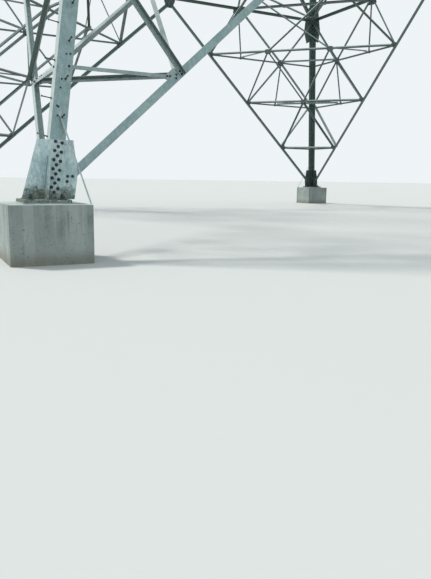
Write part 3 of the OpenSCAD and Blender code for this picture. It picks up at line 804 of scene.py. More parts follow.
# %% [markdown]
# ## The axes of each face
# The real face leans inward by the legs' lean, so a bolt in it isn't level. Each bolt could be turned
# by itself, but one matrix that tips the upright axes back and turns them round to a face places
# everything in that face at once.

# %% Axes of each face
def corner_turn(k):
    """Turn round Z from the near face, or the near left corner, to number k."""
    return Matrix.Rotation(k * math.pi / 2, 4, "Z")


def face_axes(k):
    """Axes of face k."""
    tip = Matrix.Rotation(math.pi / 2 - math.atan(LEAN), 4, "X")
    return corner_turn(k) @ Matrix.Translation((0, -SPACING / 2, PIER_TOP)) @ tip


print("faces lean", round(math.degrees(math.atan(LEAN)), 2), "degrees")

# %% [markdown]
# ## Joints of a half face
# On the real pylon the bars of a face meet where a draughtsman crossed their middle lines. A table of
# points would do, but the crossings are found again here in the same way: levels, two main
# diagonals from the feet to the apex, and shares of the belt. The right half is the mirror image.

# %% Joints of a half face
FOOT_Z, FIRST_Z, SECOND_Z, THIRD_Z, BELT_Z, TOP_Z = 0.16, 2.15, 4.35, 6.45, 8.66, 23.66
APEX_DROP = 0.21
QUARTER_SHARE, HANGER_SHARE = 0.55, 0.58
foot = leg_point(FOOT_Z)
apex = on(0, BELT_Z - APEX_DROP)
belt_end = leg_point(BELT_Z)
belt_middle = on(0, BELT_Z)
crossing_z = (FIRST_Z, SECOND_Z, THIRD_Z)
diag_joint = [at_level(foot, apex, z) for z in crossing_z]
quarter = belt_end.lerp(belt_middle, QUARTER_SHARE)
knee = at_level(leg_point(SECOND_Z), belt_end.lerp(belt_middle, 0.5), THIRD_Z)
second_mid = leg_point(SECOND_Z).lerp(diag_joint[1], HANGER_SHARE)
third_mid = knee.lerp(diag_joint[2], HANGER_SHARE)
leg_angle = bearing(leg_point(0), belt_end)
diag_angle = bearing(foot, apex)
leg_way = (leg_point(1) - leg_point(0)).normalized()
diag_way = (apex - foot).normalized()
top_end = upper_point(TOP_Z)
far_top = Vector((-top_end.x, top_end.y, 0))
far_belt = Vector((-belt_end.x, belt_end.y, 0))
panel_cross = belt_end.lerp(far_top, belt_end.x / (belt_end.x + top_end.x))
low_mid = belt_end.lerp(panel_cross, 0.5)
high_mid = panel_cross.lerp(top_end, 0.5)
print("knee at", tuple(round(v, 3) for v in knee))

# %% [markdown]
# ## Discs and chamfers
# Bolts, nuts, pegs and anchors are all turned or rolled steel: stacks of discs and prisms with a broken
# edge. They could be drawn point by point, but a cone with two equal radii is such a disc, and
# a bevel with one segment breaks its rim.

# %% Discs and chamfers
def disc(bm, sides, radius, low, high):
    """Upright prism or disc between two heights."""
    bmesh.ops.create_cone(
        bm, cap_ends=True, segments=sides, radius1=radius, radius2=radius, depth=high - low,
        matrix=Matrix.Translation((0, 0, (low + high) / 2)),
    )


def chamfer(bm, edges, offset):
    """Break edges with one flat."""
    bmesh.ops.bevel(bm, geom=edges, offset=offset, segments=1, profile=0.5, affect="EDGES", material=-1)


def edges_above(bm, z):
    """Edges with both ends above a height."""
    return [e for e in bm.edges if min(v.co.z for v in e.verts) > z]


def edge_rise(edge):
    """How far an edge climbs from one end to the other."""
    return abs(edge.verts[0].co.z - edge.verts[1].co.z)


print("disc and chamfer ready")

# %% [markdown]
# ## One bolt
# A lattice is held by thousands of hexagon bolts: a head on a washer outside, a nut and a bit of
# thread inside. Each could be modelled at its own size, but all sizes have nearly the same shape. So
# one head and one nut are made for a bolt 1 m thick, with few faces, and copies of them are shrunk.

# %% One head and one nut
WASHER_R, WASHER_H = 1.02, 0.16
HEX_R, HEX_H, HEX_CHAMFER = 0.87, 0.8, 0.1
THREAD_R, THREAD_H = 0.5, 0.45


def head_mesh():
    """Washer and chamfered hexagon head, standing on z 0."""
    bm = bmesh.new()
    disc(bm, 10, WASHER_R, 0, WASHER_H)
    disc(bm, 6, HEX_R, WASHER_H, HEX_H)
    chamfer(bm, edges_above(bm, HEX_H * 0.99), HEX_CHAMFER)
    return new_mesh("bolt_head_pattern", bm)


def nut_mesh():
    """Nut and thread end, hanging from z 0."""
    bm = bmesh.new()
    disc(bm, 6, HEX_R, -HEX_H, 0)
    disc(bm, 8, THREAD_R, -HEX_H - THREAD_H, -HEX_H)
    return new_mesh("bolt_nut_pattern", bm)


HEAD, NUT = head_mesh(), nut_mesh()
print("faces of a head", len(HEAD.polygons), "and of a nut", len(NUT.polygons))

# %% [markdown]
# ## Copies in place
# Thousands of objects are slow to handle, so the copies of a face or a corner are joined into one
# mesh and become one piece. On the real pylon no two nuts stop at the same angle; a turn that grows
# with the size of the mesh so far gives each bolt its own angle without random numbers.

# %% Copies in place
TURN_STEP = 2.4


def add_copy(bm, pattern, place):
    """Add a pattern mesh to a bmesh at a place."""
    before = len(bm.verts)
    bm.from_mesh(pattern)
    bm.verts.ensure_lookup_table()
    bmesh.ops.transform(bm, matrix=place, verts=bm.verts[before:])


def add_bolt(bm, axes, place, grip, size):
    """Bolt through the z axis of the given axes: the grip is the height of its head and of its nut."""
    spin = Matrix.Rotation(TURN_STEP * len(bm.verts), 4, "Z") @ Matrix.Scale(size, 4)
    flat = axes @ Matrix.Translation((place.x, place.y, 0))
    for pattern, height in zip((HEAD, NUT), grip):
        add_copy(bm, pattern, flat @ Matrix.Translation((0, 0, height)) @ spin)


def add_piece(name, mesh, finish):
    """Object that rides on the frame's one body and its finish."""
    piece = new_object(name, mesh)
    mesh.materials.append(zincs[finish])
    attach(piece, "root")


def add_joined(name, patterns, place, finish):
    """One piece of several patterns, all at the same place."""
    bm = bmesh.new()
    for pattern in patterns:
        add_copy(bm, pattern, place)
    add_piece(name, new_mesh(name, bm), finish)


print("each bolt turns", TURN_STEP, "radians for each vertex made before it")

# %% [markdown]
# ## Bolts at the three levels
# At each level a bar runs from the leg to the main diagonal. It lies behind both flanges, so its bolts
# go through them, one or two at each end, and two more sit in the diagonal at the joint itself. The
# places could be typed in, but a bar's slant moves its holes: they keep a distance that is measured
# square to the member they are bolted to.

# %% Bolts at the three levels
M16, M20, M24, M27 = 0.016, 0.020, 0.024, 0.027
LEG_T, DIAG_T, RED_T = 0.028, 0.014, 0.007
REAR = -LEG_T
LEG_TO_RED, DIAG_TO_RED = (0, REAR - RED_T), (-DIAG_T, REAR - RED_T)
FIRST_ON_LEG, ON_LEG, PAST_DIAG = (0.072,), (0.062, 0.1), (0.082, 0.118)
AT_CROSSING = (Vector((-0.016, -0.026, 0)), Vector((-0.008, 0.036, 0)))
LEAST_LEAN = 0.2
face_bolts = []


def bolts(points, grip, size):
    """Note bolts at points of the left half face and at their mirror images."""
    for p in points:
        face_bolts.append((p, grip, size))
        face_bolts.append((Vector((-p.x, p.y, 0)), grip, size))


def bolt_end(a, b, angle, distances, grip, size, sides=(0,)):
    """Bolt the bar from a to b at its end a, square distances from the member there at an angle."""
    way = (b - a).normalized()
    lean = max(LEAST_LEAN, abs(math.sin(bearing(a, b) - angle)))
    aside = Vector((-way.y, way.x, 0))
    points = [a + way * (x / lean) + aside * sides[i % len(sides)] for i, x in enumerate(distances)]
    bolts(points, grip, size)


for joint, z in zip(diag_joint, crossing_z):
    side = leg_point(z)
    bolt_end(joint, side, diag_angle, PAST_DIAG, DIAG_TO_RED, M20)
    bolt_end(side, joint, leg_angle, FIRST_ON_LEG if z == FIRST_Z else ON_LEG, LEG_TO_RED, M20)
    bolts([joint + v for v in AT_CROSSING], (0, REAR + DIAG_T), M20)
print("bolts at the levels:", len(face_bolts))

# %% [markdown]
# ## Bolts of the struts and the knee
# A stout strut rises from the leg to the knee, a gusset in the middle of the half face, and on to the
# belt. Lighter bars tie the knee to the diagonal and to the leg. The strut's bolts stagger to the
# two sides of its middle line, as in the photograph, because a row of them would weaken the flange.

# %% Bolts of the struts and the knee
STRUT_T, GUSSET_T, BELT_T = 0.010, 0.012, 0.012
SPREAD = 0.11
STAGGER = (0.022, -0.022)
STRUT_ON_LEG, ON_KNEE, UNDER_BELT, ON_DIAG = (0.055, 0.09), (0.085, 0.125), (0.105, 0.15), (0.048,)
KNEE_TO_STRUT, KNEE_TO_RED = (REAR + GUSSET_T, REAR - STRUT_T), (REAR + GUSSET_T, REAR - RED_T)
above = leg_point(SECOND_Z) + SPREAD * leg_way
below_belt = belt_end - SPREAD * leg_way
strut_top = quarter - Vector((SPREAD, 0, 0))
bolt_end(above, knee, leg_angle, STRUT_ON_LEG, (0, REAR - STRUT_T), M20, STAGGER)
bolt_end(knee, above, 0, ON_KNEE, KNEE_TO_STRUT, M20, STAGGER)
bolt_end(knee, strut_top, 0, ON_KNEE, KNEE_TO_STRUT, M20, STAGGER)
bolt_end(strut_top, knee, 0, UNDER_BELT, (-BELT_T, REAR - STRUT_T), M20, STAGGER)
bolt_end(diag_joint[1], knee, diag_angle, ON_DIAG, LEG_TO_RED, M20)
bolt_end(diag_joint[1], knee, diag_angle, PAST_DIAG, DIAG_TO_RED, M20)
bolt_end(knee, diag_joint[1], 0, ON_KNEE, KNEE_TO_RED, M20)
bolt_end(knee, below_belt, 0, ON_KNEE, KNEE_TO_RED, M20)
bolt_end(below_belt, knee, leg_angle, ON_LEG, (GUSSET_T, REAR - RED_T), M20)
print("bolts so far:", len(face_bolts))

# %% [markdown]
# ## Bolts of the hangers
# Thin hangers stop the long level bars and the belt from sagging. They carry little, so one small
# bolt holds most of their ends. They could be left bare at this size, but the knee and the belt are
# near enough that each small head shows against the sky.

# %% Bolts of the hangers
HANGER_T = 0.005
KNEE_TO_HANGER, BELT_TO_HANGER = (REAR + GUSSET_T, REAR - HANGER_T), (-BELT_T, REAR - HANGER_T)
HANGER_ON_BAR, HANGER_ON_KNEE, HANGER_ON_BELT = (0.078,), (0.1,), (0.12, 0.16)
KNEE_ROW, QUARTER_ROW = (-0.13, -0.05, 0.05, 0.13), (-0.2, -0.1, 0, 0.1, 0.2)


def level_row(p, distances, stagger=0):
    """Points level with p, on two sides of the line where a stagger is given."""
    return [p + Vector((x, stagger * (-1) ** i, 0)) for i, x in enumerate(distances)]


last_hanger = quarter + Vector((SPREAD * 0.7, 0, 0))
bolt_end(diag_joint[2], last_hanger, diag_angle, ON_DIAG, (0, REAR - HANGER_T), M16)
bolt_end(last_hanger, diag_joint[2], 0, HANGER_ON_BELT[:1], BELT_TO_HANGER, M16)
bolts([second_mid, third_mid], KNEE_TO_RED, M16)
bolt_end(second_mid, knee, 0, HANGER_ON_BAR, KNEE_TO_HANGER, M16)
bolt_end(knee, second_mid, 0, HANGER_ON_KNEE, KNEE_TO_HANGER, M16)
bolt_end(third_mid, quarter, 0, HANGER_ON_BAR, KNEE_TO_HANGER, M16)
bolt_end(quarter, third_mid, 0, HANGER_ON_BELT, BELT_TO_HANGER, M16)
bolts(level_row(knee, KNEE_ROW), KNEE_TO_RED, M16)
bolts(level_row(quarter, QUARTER_ROW), (0, REAR), M20)
print("bolts of the leg panels:", len(face_bolts))

# %% [markdown]
# ## Bolts of the lowest strut, the main diagonals and the belts
# The lowest strut lies on the outside of the flanges, beside the line of its joints, so its bolts sit
# where its own line meets the diagonal and the leg. The main diagonals and the belts carry the
# most, and are held by larger bolts in two staggered rows, close together to keep the gussets small.

# %% Bolts of the lowest strut, the main diagonals and the belts
LOW_STRUT_T, LOW_STRUT_OFF, SHOE_T = 0.008, 0.105, 0.022
LOW_ON_DIAG, LOW_ON_LEG = (-0.02, 0.035), (0.0, 0.05, 0.1)
DIAG_ON_SHOE = ((0.331, 0.342), (0.331, 0.423), (0.409, 0.424))
ROW, PITCH, APEX_FIRST = 0.032, 0.045, 0.115
BELT_ROWS = (
    (belt_middle, (-0.22, -0.15, -0.08)),
    (belt_end, (0.19, 0.235, 0.28, 0.325)),
    (top_end, (0.17, 0.215, 0.26, 0.305)),
)
low_way = (leg_point(SECOND_Z) - diag_joint[0]).normalized()
low_start = diag_joint[0] + LOW_STRUT_OFF * Vector((low_way.y, -low_way.x, 0))


def meet(p, way, q, other):
    """Where the line through p meets the line through q."""
    gap = q - p
    return p + way * ((gap.x * other.y - gap.y * other.x) / (way.x * other.y - way.y * other.x))


on_diag = meet(low_start, low_way, foot, diag_way)
on_leg = meet(low_start, low_way, foot, leg_way)
bolts([on_diag + low_way * s for s in LOW_ON_DIAG], (LOW_STRUT_T, -DIAG_T), M20)
bolts([on_leg - low_way * s for s in LOW_ON_LEG], (LOW_STRUT_T, REAR), M20)
bolts([from_heel(u, y) for u, y in DIAG_ON_SHOE], (SHOE_T, -DIAG_T), M24)
aside = Vector((-diag_way.y, diag_way.x, 0))
apex_row = [apex - diag_way * (APEX_FIRST + PITCH * i) + aside * ROW * (-1) ** i for i in range(3)]
bolts(apex_row, (GUSSET_T, -DIAG_T), M24)
for joint, distances in BELT_ROWS:
    bolts(level_row(joint, distances, ROW), (GUSSET_T, -BELT_T), M24)
print("bolts so far:", len(face_bolts))

# %% [markdown]
# ## Bolts of the large plates and the splice
# At the belt and at the top a large plate spreads the load over many bolts up the leg, and a splice
# joins the lower leg to the upper one. They zigzag up the flange in two rows. A grid of bolts would
# be simpler, but on real angles the rows stagger so that no cut across meets two holes.

# %% Bolts of the large plates and the splice
UPPER_T, SPLICE_T = 0.024, 0.016
LEG_ROW, LEG_PITCH = 0.06, 0.1
BELT_PLATE_DOWN, SPLICE_UP, TOP_PLATE_DOWN = 0.93, 1.045, 0.48
PLATE_TO_DIAG, PLATE_TO_UPPER, PLATE_TO_RED = (GUSSET_T, -DIAG_T), (GUSSET_T, -UPPER_T), (GUSSET_T, -RED_T)
BRACE_AT_BELT, BRACE_AT_TOP = (0.245, 0.29, 0.335), (0.235, 0.28, 0.32)


def leg_rows(start, count, pitch, grip, size):
    """Two staggered rows up a leg."""
    aside = Vector((leg_way.y, -leg_way.x, 0))
    bolts([start + leg_way * pitch * i + aside * LEG_ROW * (-1) ** i for i in range(count)], grip, size)


leg_rows(belt_end - leg_way * BELT_PLATE_DOWN, 17, LEG_PITCH, (GUSSET_T, REAR), M24)
leg_rows(upper_point(BELT_Z + SPLICE_UP), 9, LEG_PITCH, (SPLICE_T, -UPPER_T), M24)
leg_rows(top_end - leg_way * TOP_PLATE_DOWN, 6, LEG_PITCH, PLATE_TO_UPPER, M24)
bolt_end(belt_end, far_top, leg_angle, BRACE_AT_BELT, PLATE_TO_DIAG, M24, (ROW, -ROW))
bolt_end(top_end, far_belt, leg_angle, BRACE_AT_TOP, PLATE_TO_DIAG, M24, (ROW, -ROW))
print("bolts so far:", len(face_bolts))

# %% [markdown]
# ## Bolts of the crossed braces
# Above the belt two long braces cross, and light bars tie their middles to the upper legs. Each joint
# has its own small gusset. Only one half is written down, and loops run over the joints that are
# alike, because a typed list of some fifty points hides mistakes.

# %% Bolts of the crossed braces
CROSS_ROW, MIDDLE_ROW, TIE_PITCH = (-0.17, -0.11, 0.11, 0.17), (-0.1, 0, 0.1), 0.09
TIE_ON_LEG, SLANT_ON_LEG, ON_MIDDLE = (0.155, 0.205), (0.155, 0.2), (0.102,)
brace_angle = bearing(belt_end, far_top)
brace_way = (far_top - belt_end).normalized()


def beside(p):
    """Point on the upper leg level with p."""
    return upper_point(p.y / SLOPE)


bolts([panel_cross + brace_way * s for s in CROSS_ROW], PLATE_TO_DIAG, M24)
for p in (low_mid, panel_cross, high_mid):
    bolt_end(beside(p), p, leg_angle, TIE_ON_LEG, PLATE_TO_RED, M20)
    leg_rows(beside(p) - leg_way * TIE_PITCH, 3, TIE_PITCH, PLATE_TO_UPPER, M20)
for p, slant in ((low_mid, brace_angle), (high_mid, -brace_angle)):
    way = Vector((math.cos(slant), math.sin(slant), 0))
    bolts([p + way * s for s in MIDDLE_ROW], PLATE_TO_DIAG, M20)
    bolt_end(p, beside(p), slant, ON_MIDDLE, PLATE_TO_RED, M20)
    bolt_end(p, beside(panel_cross), slant, ON_MIDDLE, PLATE_TO_RED, M20)
    bolt_end(beside(panel_cross), p, leg_angle, SLANT_ON_LEG, PLATE_TO_RED, M20)
print("bolts so far:", len(face_bolts))

# %% [markdown]
# ## Bolts of the shoes, and a piece for each face
# Each leg stands in its shoe with three columns of the largest bolts, which are the first thing the
# eye meets in the photograph. Then all the bolts of a face are joined into one mesh. Each face could
# be bolted by itself, but they are alike, so the mesh is made once and turned to each.

# %% Bolts of the shoes, and a piece for each face
SHOE_COLUMNS = ((0.09, 0.25), (0.14, 0.17), (0.195, 0.227))
SHOE_ROWS, SHOE_PITCH = 6, 0.144
FACES = ("near", "right", "far", "left")
for gauge, first in SHOE_COLUMNS:
    bolts([from_heel(gauge, first + SHOE_PITCH * i) for i in range(SHOE_ROWS)], (SHOE_T, REAR), M27)
bm = bmesh.new()
for p, grip, size in face_bolts:
    add_bolt(bm, Matrix.Identity(4), p, grip, size)
one_face = new_mesh("face_bolt_pattern", bm)
for k, face in enumerate(FACES):
    add_joined(face + "_bolts", [one_face], face_axes(k), "bolt_steel")
print("bolts of one face:", len(face_bolts), "faces:", len(one_face.polygons))

# %% [markdown]
# ## Points behind the near left corner
# Behind each foot the two main diagonals carry a sloping lattice, the hip, with level triangles, and
# the belts carry level bracing. They could stay without bolts, but from below they are in full view.
# Their joints come from the same construction lines, set in by the depth of the bars before them,
# and the left face's points are the near face's with x and y changed over.

# %% Points behind the near left corner
BELT_W, RED_W = 0.13, 0.075
RED_DEPTH = LEG_T + RED_W
LUG_GAP = 0.01
TOP_HALF, BELT_HALF = half(TOP_Z), half(BELT_Z)


def inside(p, depth=0.0):
    """World point of a near face point, set in by a depth behind the face's outer plane."""
    return face_axes(0) @ Vector((p.x, p.y, -depth))


def flip(w):
    """The matching point of the left face."""
    return Vector((w.y, w.x, w.z))


def hip(level, share):
    """Point between the two diagonals of the hip plane, at joint 0 to 2."""
    a = inside(diag_joint[level], DIAG_T)
    return a.lerp(flip(a), share)


def behind(p, depth, z):
    """World point at height z behind a near face joint, clear of a flange of that depth."""
    return Vector((p.x, inside(p, depth + 2 * LUG_GAP).y, z))


def third(m, z):
    """Point on the level bar between the belts' middles, a third from one end or the other."""
    return Vector((-(1 + m) / 3 * BELT_HALF, -(2 - m) / 3 * BELT_HALF, z))


print("belt square", round(2 * BELT_HALF, 3), "m, top square", round(2 * TOP_HALF, 3), "m")

# %% [markdown]
# ## Heights of the level bars, and the way the hip leans
# Each level bar rests on a bent lug whose arm stands a little off the level of its joint, because the
# faces lean. The heights could be read off the meshes, but they follow from the depth of the flange
# before the lug. A leaning plane needs three points: its normal is the way its bolts stand.

# %% Heights of the level bars, and the way the hip leans
LEVEL_W, LUG_T, PLAY = 0.1, 0.01, 0.001
HALF_BELT, HALF_RED = BELT_W / 2 - BELT_T, RED_W / 2 - RED_T


def shelf(z, rise, depth):
    """Height of a bent lug's level arm, above the level z and behind a flange."""
    return PIER_TOP + z + (rise - (depth + LUG_GAP) * LEAN) / SLOPE


def upward(a, b, c):
    """Normal of the plane through three points, pointing up."""
    normal = (b - a).cross(c - a).normalized()
    return normal if normal.z > 0 else -normal


belt_shelf = shelf(BELT_Z, HALF_BELT, BELT_W) - LUG_T - PLAY
top_shelf = shelf(TOP_Z, HALF_BELT, BELT_W) - LUG_T - PLAY
knee_shelf = shelf(THIRD_Z, HALF_RED, RED_DEPTH)
low_shelf = shelf(SECOND_Z, HALF_RED, RED_DEPTH)
hip_up = upward(inside(foot, DIAG_T), inside(apex, DIAG_T), flip(inside(apex, DIAG_T)))
hip_top = [third(m, belt_shelf - GUSSET_T - LEVEL_W) for m in (0, 1)]
hip_up_high = upward(hip(2, 0), hip(2, 1), hip_top[0])
print("level bars at", [round(z, 3) for z in (low_shelf, knee_shelf, belt_shelf, top_shelf)])

# %% [markdown]
# ## Bolts of the hip
# The hip's bars are bolted to bent lugs at their ends and to small plates where they meet, each with
# one or two bolts. A leaning plane could have axes of its own, but its bars only need their two ends
# and the side they face: the bolts then stand square to the bar.

# %% Bolts of the hip
LEVEL_T = 0.008
ON_LUG, ON_LUG_SLANT, ON_PLATE = (0.115, 0.165), (0.185, 0.225), (0.118,)
RISER_LOW, RISER_HIGH, CROSS_HIGH, BAR_END = (0.205, 0.245), (0.1, 0.14), (0.18,), (0.1, 0.14)
DOWN = Vector((0, 0, -1))


def bar_bolts(bm, a, b, facing, from_a, from_b, grip, size):
    """Bolts at distances from a bar's ends: heads on the side it faces, nuts on the other."""
    way = (b - a).normalized()
    along = (way - way.dot(facing) * facing).normalized()
    turn = Matrix((along, facing.cross(along), facing)).transposed().to_4x4()
    for p in [a + way * s for s in from_a] + [b - way * s for s in from_b]:
        add_bolt(bm, Matrix.Translation(p) @ turn, Vector((0, 0, 0)), grip, size)


bm = bmesh.new()
for i in range(3):
    bar_bolts(bm, hip(i, 0), hip(i, 1), -hip_up, ON_LUG, ON_LUG, PLATE_TO_RED, M16)
on_top_of_plate = (GUSSET_T + LOW_STRUT_T, 0)
for m in (0, 1):
    high = hip(2, (1 + m) / 3)
    bar_bolts(bm, hip(0, m), hip(1, 0.5), -hip_up, ON_LUG_SLANT, ON_PLATE, on_top_of_plate, M16)
    bar_bolts(bm, hip(1, 0.5), high, -hip_up, ON_PLATE, ON_PLATE, PLATE_TO_RED, M16)
    bar_bolts(bm, hip(1, m), high, -hip_up, ON_LUG_SLANT, ON_PLATE, PLATE_TO_RED, M16)
    bar_bolts(bm, hip(2, m), hip_top[m], -hip_up_high, RISER_LOW, RISER_HIGH, (GUSSET_T, -LEVEL_T), M16)
bar_bolts(bm, hip(2, 1 / 3), hip_top[1], -hip_up_high, ON_PLATE, CROSS_HIGH, PLATE_TO_RED, M16)
bar_bolts(bm, hip(2, 2 / 3), hip_top[0], -hip_up_high, ON_PLATE, CROSS_HIGH, (GUSSET_T + RED_T, 0), M16)
for p in (behind(second_mid, RED_DEPTH, low_shelf), behind(knee, RED_DEPTH, knee_shelf)):
    bar_bolts(bm, p, flip(p), DOWN, BAR_END, BAR_END, (LUG_T, -RED_T), M16)
hip_bolts = new_mesh("hip_bolt_pattern", bm)
print("faces of one hip's bolts", len(hip_bolts.polygons))

# %% [markdown]
# ## Bolts of the level bracing, and a piece for each corner
# Level bars join the middles of the belts and hold the square in shape. They hang under gussets, so
# their bolts are seen from below, head down. One quarter is bolted and, with the hip's bolts, copied
# to each corner, because a quarter turn maps the whole bracing onto itself.

# %% Bolts of the level bracing, and a piece for each corner
CORNERS = ("near_left", "near_right", "far_right", "far_left")
BELT_BAR, QUARTER_BAR = (0.34, 0.39), (0.13, 0.18)
CORNER_LOW, CORNER_HIGH = (0.3, 0.35), (0.15, 0.2)
TOP_MIDDLE, TOP_CORNER = (0.06, 0.11), (0.24, 0.29)
OVER_GUSSET, UNDER_GUSSET = (LEVEL_T, -GUSSET_T), (GUSSET_T, -LEVEL_T)
bm = bmesh.new()
belt_under = belt_shelf - GUSSET_T
near_belt, near_top = Vector((0, -BELT_HALF, belt_under)), Vector((0, -TOP_HALF, top_shelf - GUSSET_T))
quarter_bar = behind(quarter, BELT_W, belt_under)
corner_bar = [Vector((-BELT_HALF + LEG_W, -BELT_HALF + LEG_W, belt_shelf)), third(0, belt_shelf)]
bar_bolts(bm, near_belt, flip(near_belt), DOWN, BELT_BAR, BELT_BAR, OVER_GUSSET, M20)
bar_bolts(bm, quarter_bar, flip(quarter_bar), DOWN, QUARTER_BAR, QUARTER_BAR, OVER_GUSSET, M20)
for a, b in (corner_bar, [flip(p) for p in corner_bar]):
    bar_bolts(bm, a, b, DOWN, CORNER_LOW, CORNER_HIGH, UNDER_GUSSET, M20)
bar_bolts(bm, near_top, flip(near_top), DOWN, BELT_BAR, BELT_BAR, OVER_GUSSET, M20)
top_middle = Vector((-TOP_HALF / 2, -TOP_HALF / 2, top_shelf))
top_corner = Vector((-TOP_HALF + UPPER_W, -TOP_HALF + UPPER_W, top_shelf))
bar_bolts(bm, top_middle, top_corner, DOWN, TOP_MIDDLE, TOP_CORNER, UNDER_GUSSET, M20)
level_bolts = new_mesh("level_bolt_pattern", bm)
for k, corner in enumerate(CORNERS):
    patterns = [hip_bolts, level_bolts]
    add_joined(corner + "_inner_bolts", patterns, corner_turn(k), "bolt_steel")
print("faces of one corner's level bolts", len(level_bolts.polygons))

# %% [markdown]
# ## One climbing peg
# The near left leg has a peg every 30 cm. A peg is a round bar with a button at its tip, clamped by a
# nut on each side of the flange. The bar could be a bevelled curve, but a disc for each part keeps
# it to few faces and needs no step to turn it into a mesh.

# %% One climbing peg
PEG_R, PEG_REACH = 0.009, 0.165
BUTTON_R, BUTTON_H, BUTTON_CHAMFER = 0.017, 0.012, 0.003
PEG_NUT_R, PEG_NUT_H = 0.017, 0.014


def peg_mesh():
    """Peg standing on z 0: bar, outer nut and button."""
    bm = bmesh.new()
    disc(bm, 8, PEG_R, 0, PEG_REACH)
    disc(bm, 6, PEG_NUT_R, 0, PEG_NUT_H)
    disc(bm, 10, BUTTON_R, PEG_REACH - BUTTON_H, PEG_REACH)
    chamfer(bm, edges_above(bm, PEG_REACH - BUTTON_H / 2), BUTTON_CHAMFER)
    return new_mesh("peg_pattern", bm)


PEG = peg_mesh()
print("faces of a peg", len(PEG.polygons))

# %% [markdown]
# ## Pegs up the near left leg
# The pegs stand in the leg's two flanges by turns, so that a climber's feet find one on each side.
# They could go up in one straight row, but where a plate lies on the leg the real ones move to the
# middle of the flange and stand on the plate, clear of its bolts.

# %% Pegs up the near left leg
PEG_STEP = 0.61
FIRST_PEGS = {0: 1.36, 3: 1.67}
LEG_GAUGE, UPPER_GAUGE = 0.16, 0.14
SPLICE_Z, SPLICE_HALF = BELT_Z + 1.5, 0.52
MIDDLE_PLATE_HALF = 0.22
LAST_PEG_Z = TOP_Z + 0.3
plates = [
    (BELT_Z - 1.0, BELT_Z + 0.78, LEG_W, GUSSET_T),
    (SPLICE_Z - SPLICE_HALF, SPLICE_Z + SPLICE_HALF, UPPER_W, SPLICE_T),
    (TOP_Z - 0.6, TOP_Z + 0.15, UPPER_W, GUSSET_T),
]
for p in (low_mid, panel_cross, high_mid):
    middle = p.y / SLOPE
    plates.append((middle - MIDDLE_PLATE_HALF, middle + MIDDLE_PLATE_HALF, UPPER_W, GUSSET_T))


def peg_seat(z):
    """Distance from the heel and outer height of the leg, or of the plate on it, at a height."""
    for low, high, width, thick in plates:
        if low < z < high:
            return width / 2, thick
    return (LEG_GAUGE if z < BELT_Z else UPPER_GAUGE), 0.0


bm = bmesh.new()
pegs = 0
for k, y in FIRST_PEGS.items():
    side = -1 if k == 0 else 1
    while y / SLOPE < LAST_PEG_Z:
        gauge, outer = peg_seat(y / SLOPE)
        place = face_axes(k) @ Matrix.Translation((side * (half(y / SLOPE) - gauge), y, 0))
        inner = REAR if y / SLOPE < SPLICE_Z else -UPPER_T
        add_copy(bm, PEG, place @ Matrix.Translation((0, 0, outer)))
        add_copy(bm, NUT, place @ Matrix.Translation((0, 0, inner)) @ Matrix.Scale(M20, 4))
        y += PEG_STEP
        pegs += 1
add_piece("near_left_pegs", new_mesh("near_left_pegs", bm), "bolt_steel")
print("pegs:", pegs)

# %% [markdown]
# ## Small bolts and a tie on the near left leg
# Above its shoe this leg has a few small bolts that fill spare holes and, on its left face, a thin
# flat tie to the diagonal. At this size they could be left out, but they are close to the eye. The
# tie is a cube stretched to a flat bar, with its edges broken, and turned into its face.

# %% Small bolts and a tie on the near left leg
LEG_HOLES = (
    (0.087, 1.382), (0.089, 1.525), (0.065, 1.539), (0.093, 1.827),
    (0.099, 1.967), (0.138, 2.368), (0.201, 2.375),
)
TIE_ENDS = ((0.16, 1.055), (1.06, 1.165))
TIE_BOLTS = ((0.21, 1.062), (0.343, 1.077), (1.03, 1.161))
TIE_W, TIE_T, TIE_CHAMFER = 0.018, 0.006, 0.001


def from_right_heel(gauge, y):
    """Point of a face, from the heel of the leg on its right."""
    return Vector((half(y / SLOPE) - gauge, y, 0))


bm = bmesh.new()
for u, y in LEG_HOLES:
    add_bolt(bm, face_axes(0), from_heel(u, y), (0, REAR), M16)
for u, y in TIE_BOLTS:
    add_bolt(bm, face_axes(3), from_right_heel(u, y), (TIE_T, REAR if u < LEG_W else -DIAG_T), M16)
add_piece("near_left_small_bolts", new_mesh("near_left_small_bolts", bm), "bolt_steel")
start, end = [from_right_heel(u, y) for u, y in TIE_ENDS]
length = (end - start).length
bm = bmesh.new()
bmesh.ops.create_cube(bm, size=1, matrix=Matrix.Diagonal((length, TIE_W, TIE_T, 1)))
chamfer(bm, bm.edges[:], TIE_CHAMFER)
place = Matrix.Translation((start + end) / 2 + Vector((0, 0, TIE_T / 2)))
turn = Matrix.Rotation(bearing(start, end), 4, "Z")
bmesh.ops.transform(bm, matrix=face_axes(3) @ place @ turn, verts=bm.verts[:])
# The tie takes the near-black bolt finish as painted shade, standing in for the dark shadow line under the
# bar.
add_piece("near_left_tie", new_mesh("near_left_tie", bm), "bolt_steel")
print("tie length", round(length, 3))

# %% [markdown]
# ## Anchor bolts
# Each base plate is held down by four bolts that are cast into the pier, each with a square washer, a
# nut and a lock nut. The shoe's common bolts could stand in for them, but anchor bolts are as thick
# as a thumb and end in a free stub of thread, so they get a pattern of their own.

# %% Anchor bolts of one foot
ANCHOR_OFF, ANCHOR_TURN = 0.24, 0.35
ANCHOR_R, ANCHOR_WASHER, ANCHOR_NUT_R, LOCK_NUT_R = 0.018, 0.1, 0.032, 0.03136
WASHER_TOP, NUT_TOP, LOCK_TOP, STUB_TOP = 0.014, 0.044, 0.064, 0.092
ANCHOR_CHAMFER, LEVEL_WITHIN = 0.0025, 1e-6
BASE_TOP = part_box("near_left_leg")[0][2]
FOOT_CENTRE = Vector((-SPACING / 2, -SPACING / 2, BASE_TOP))


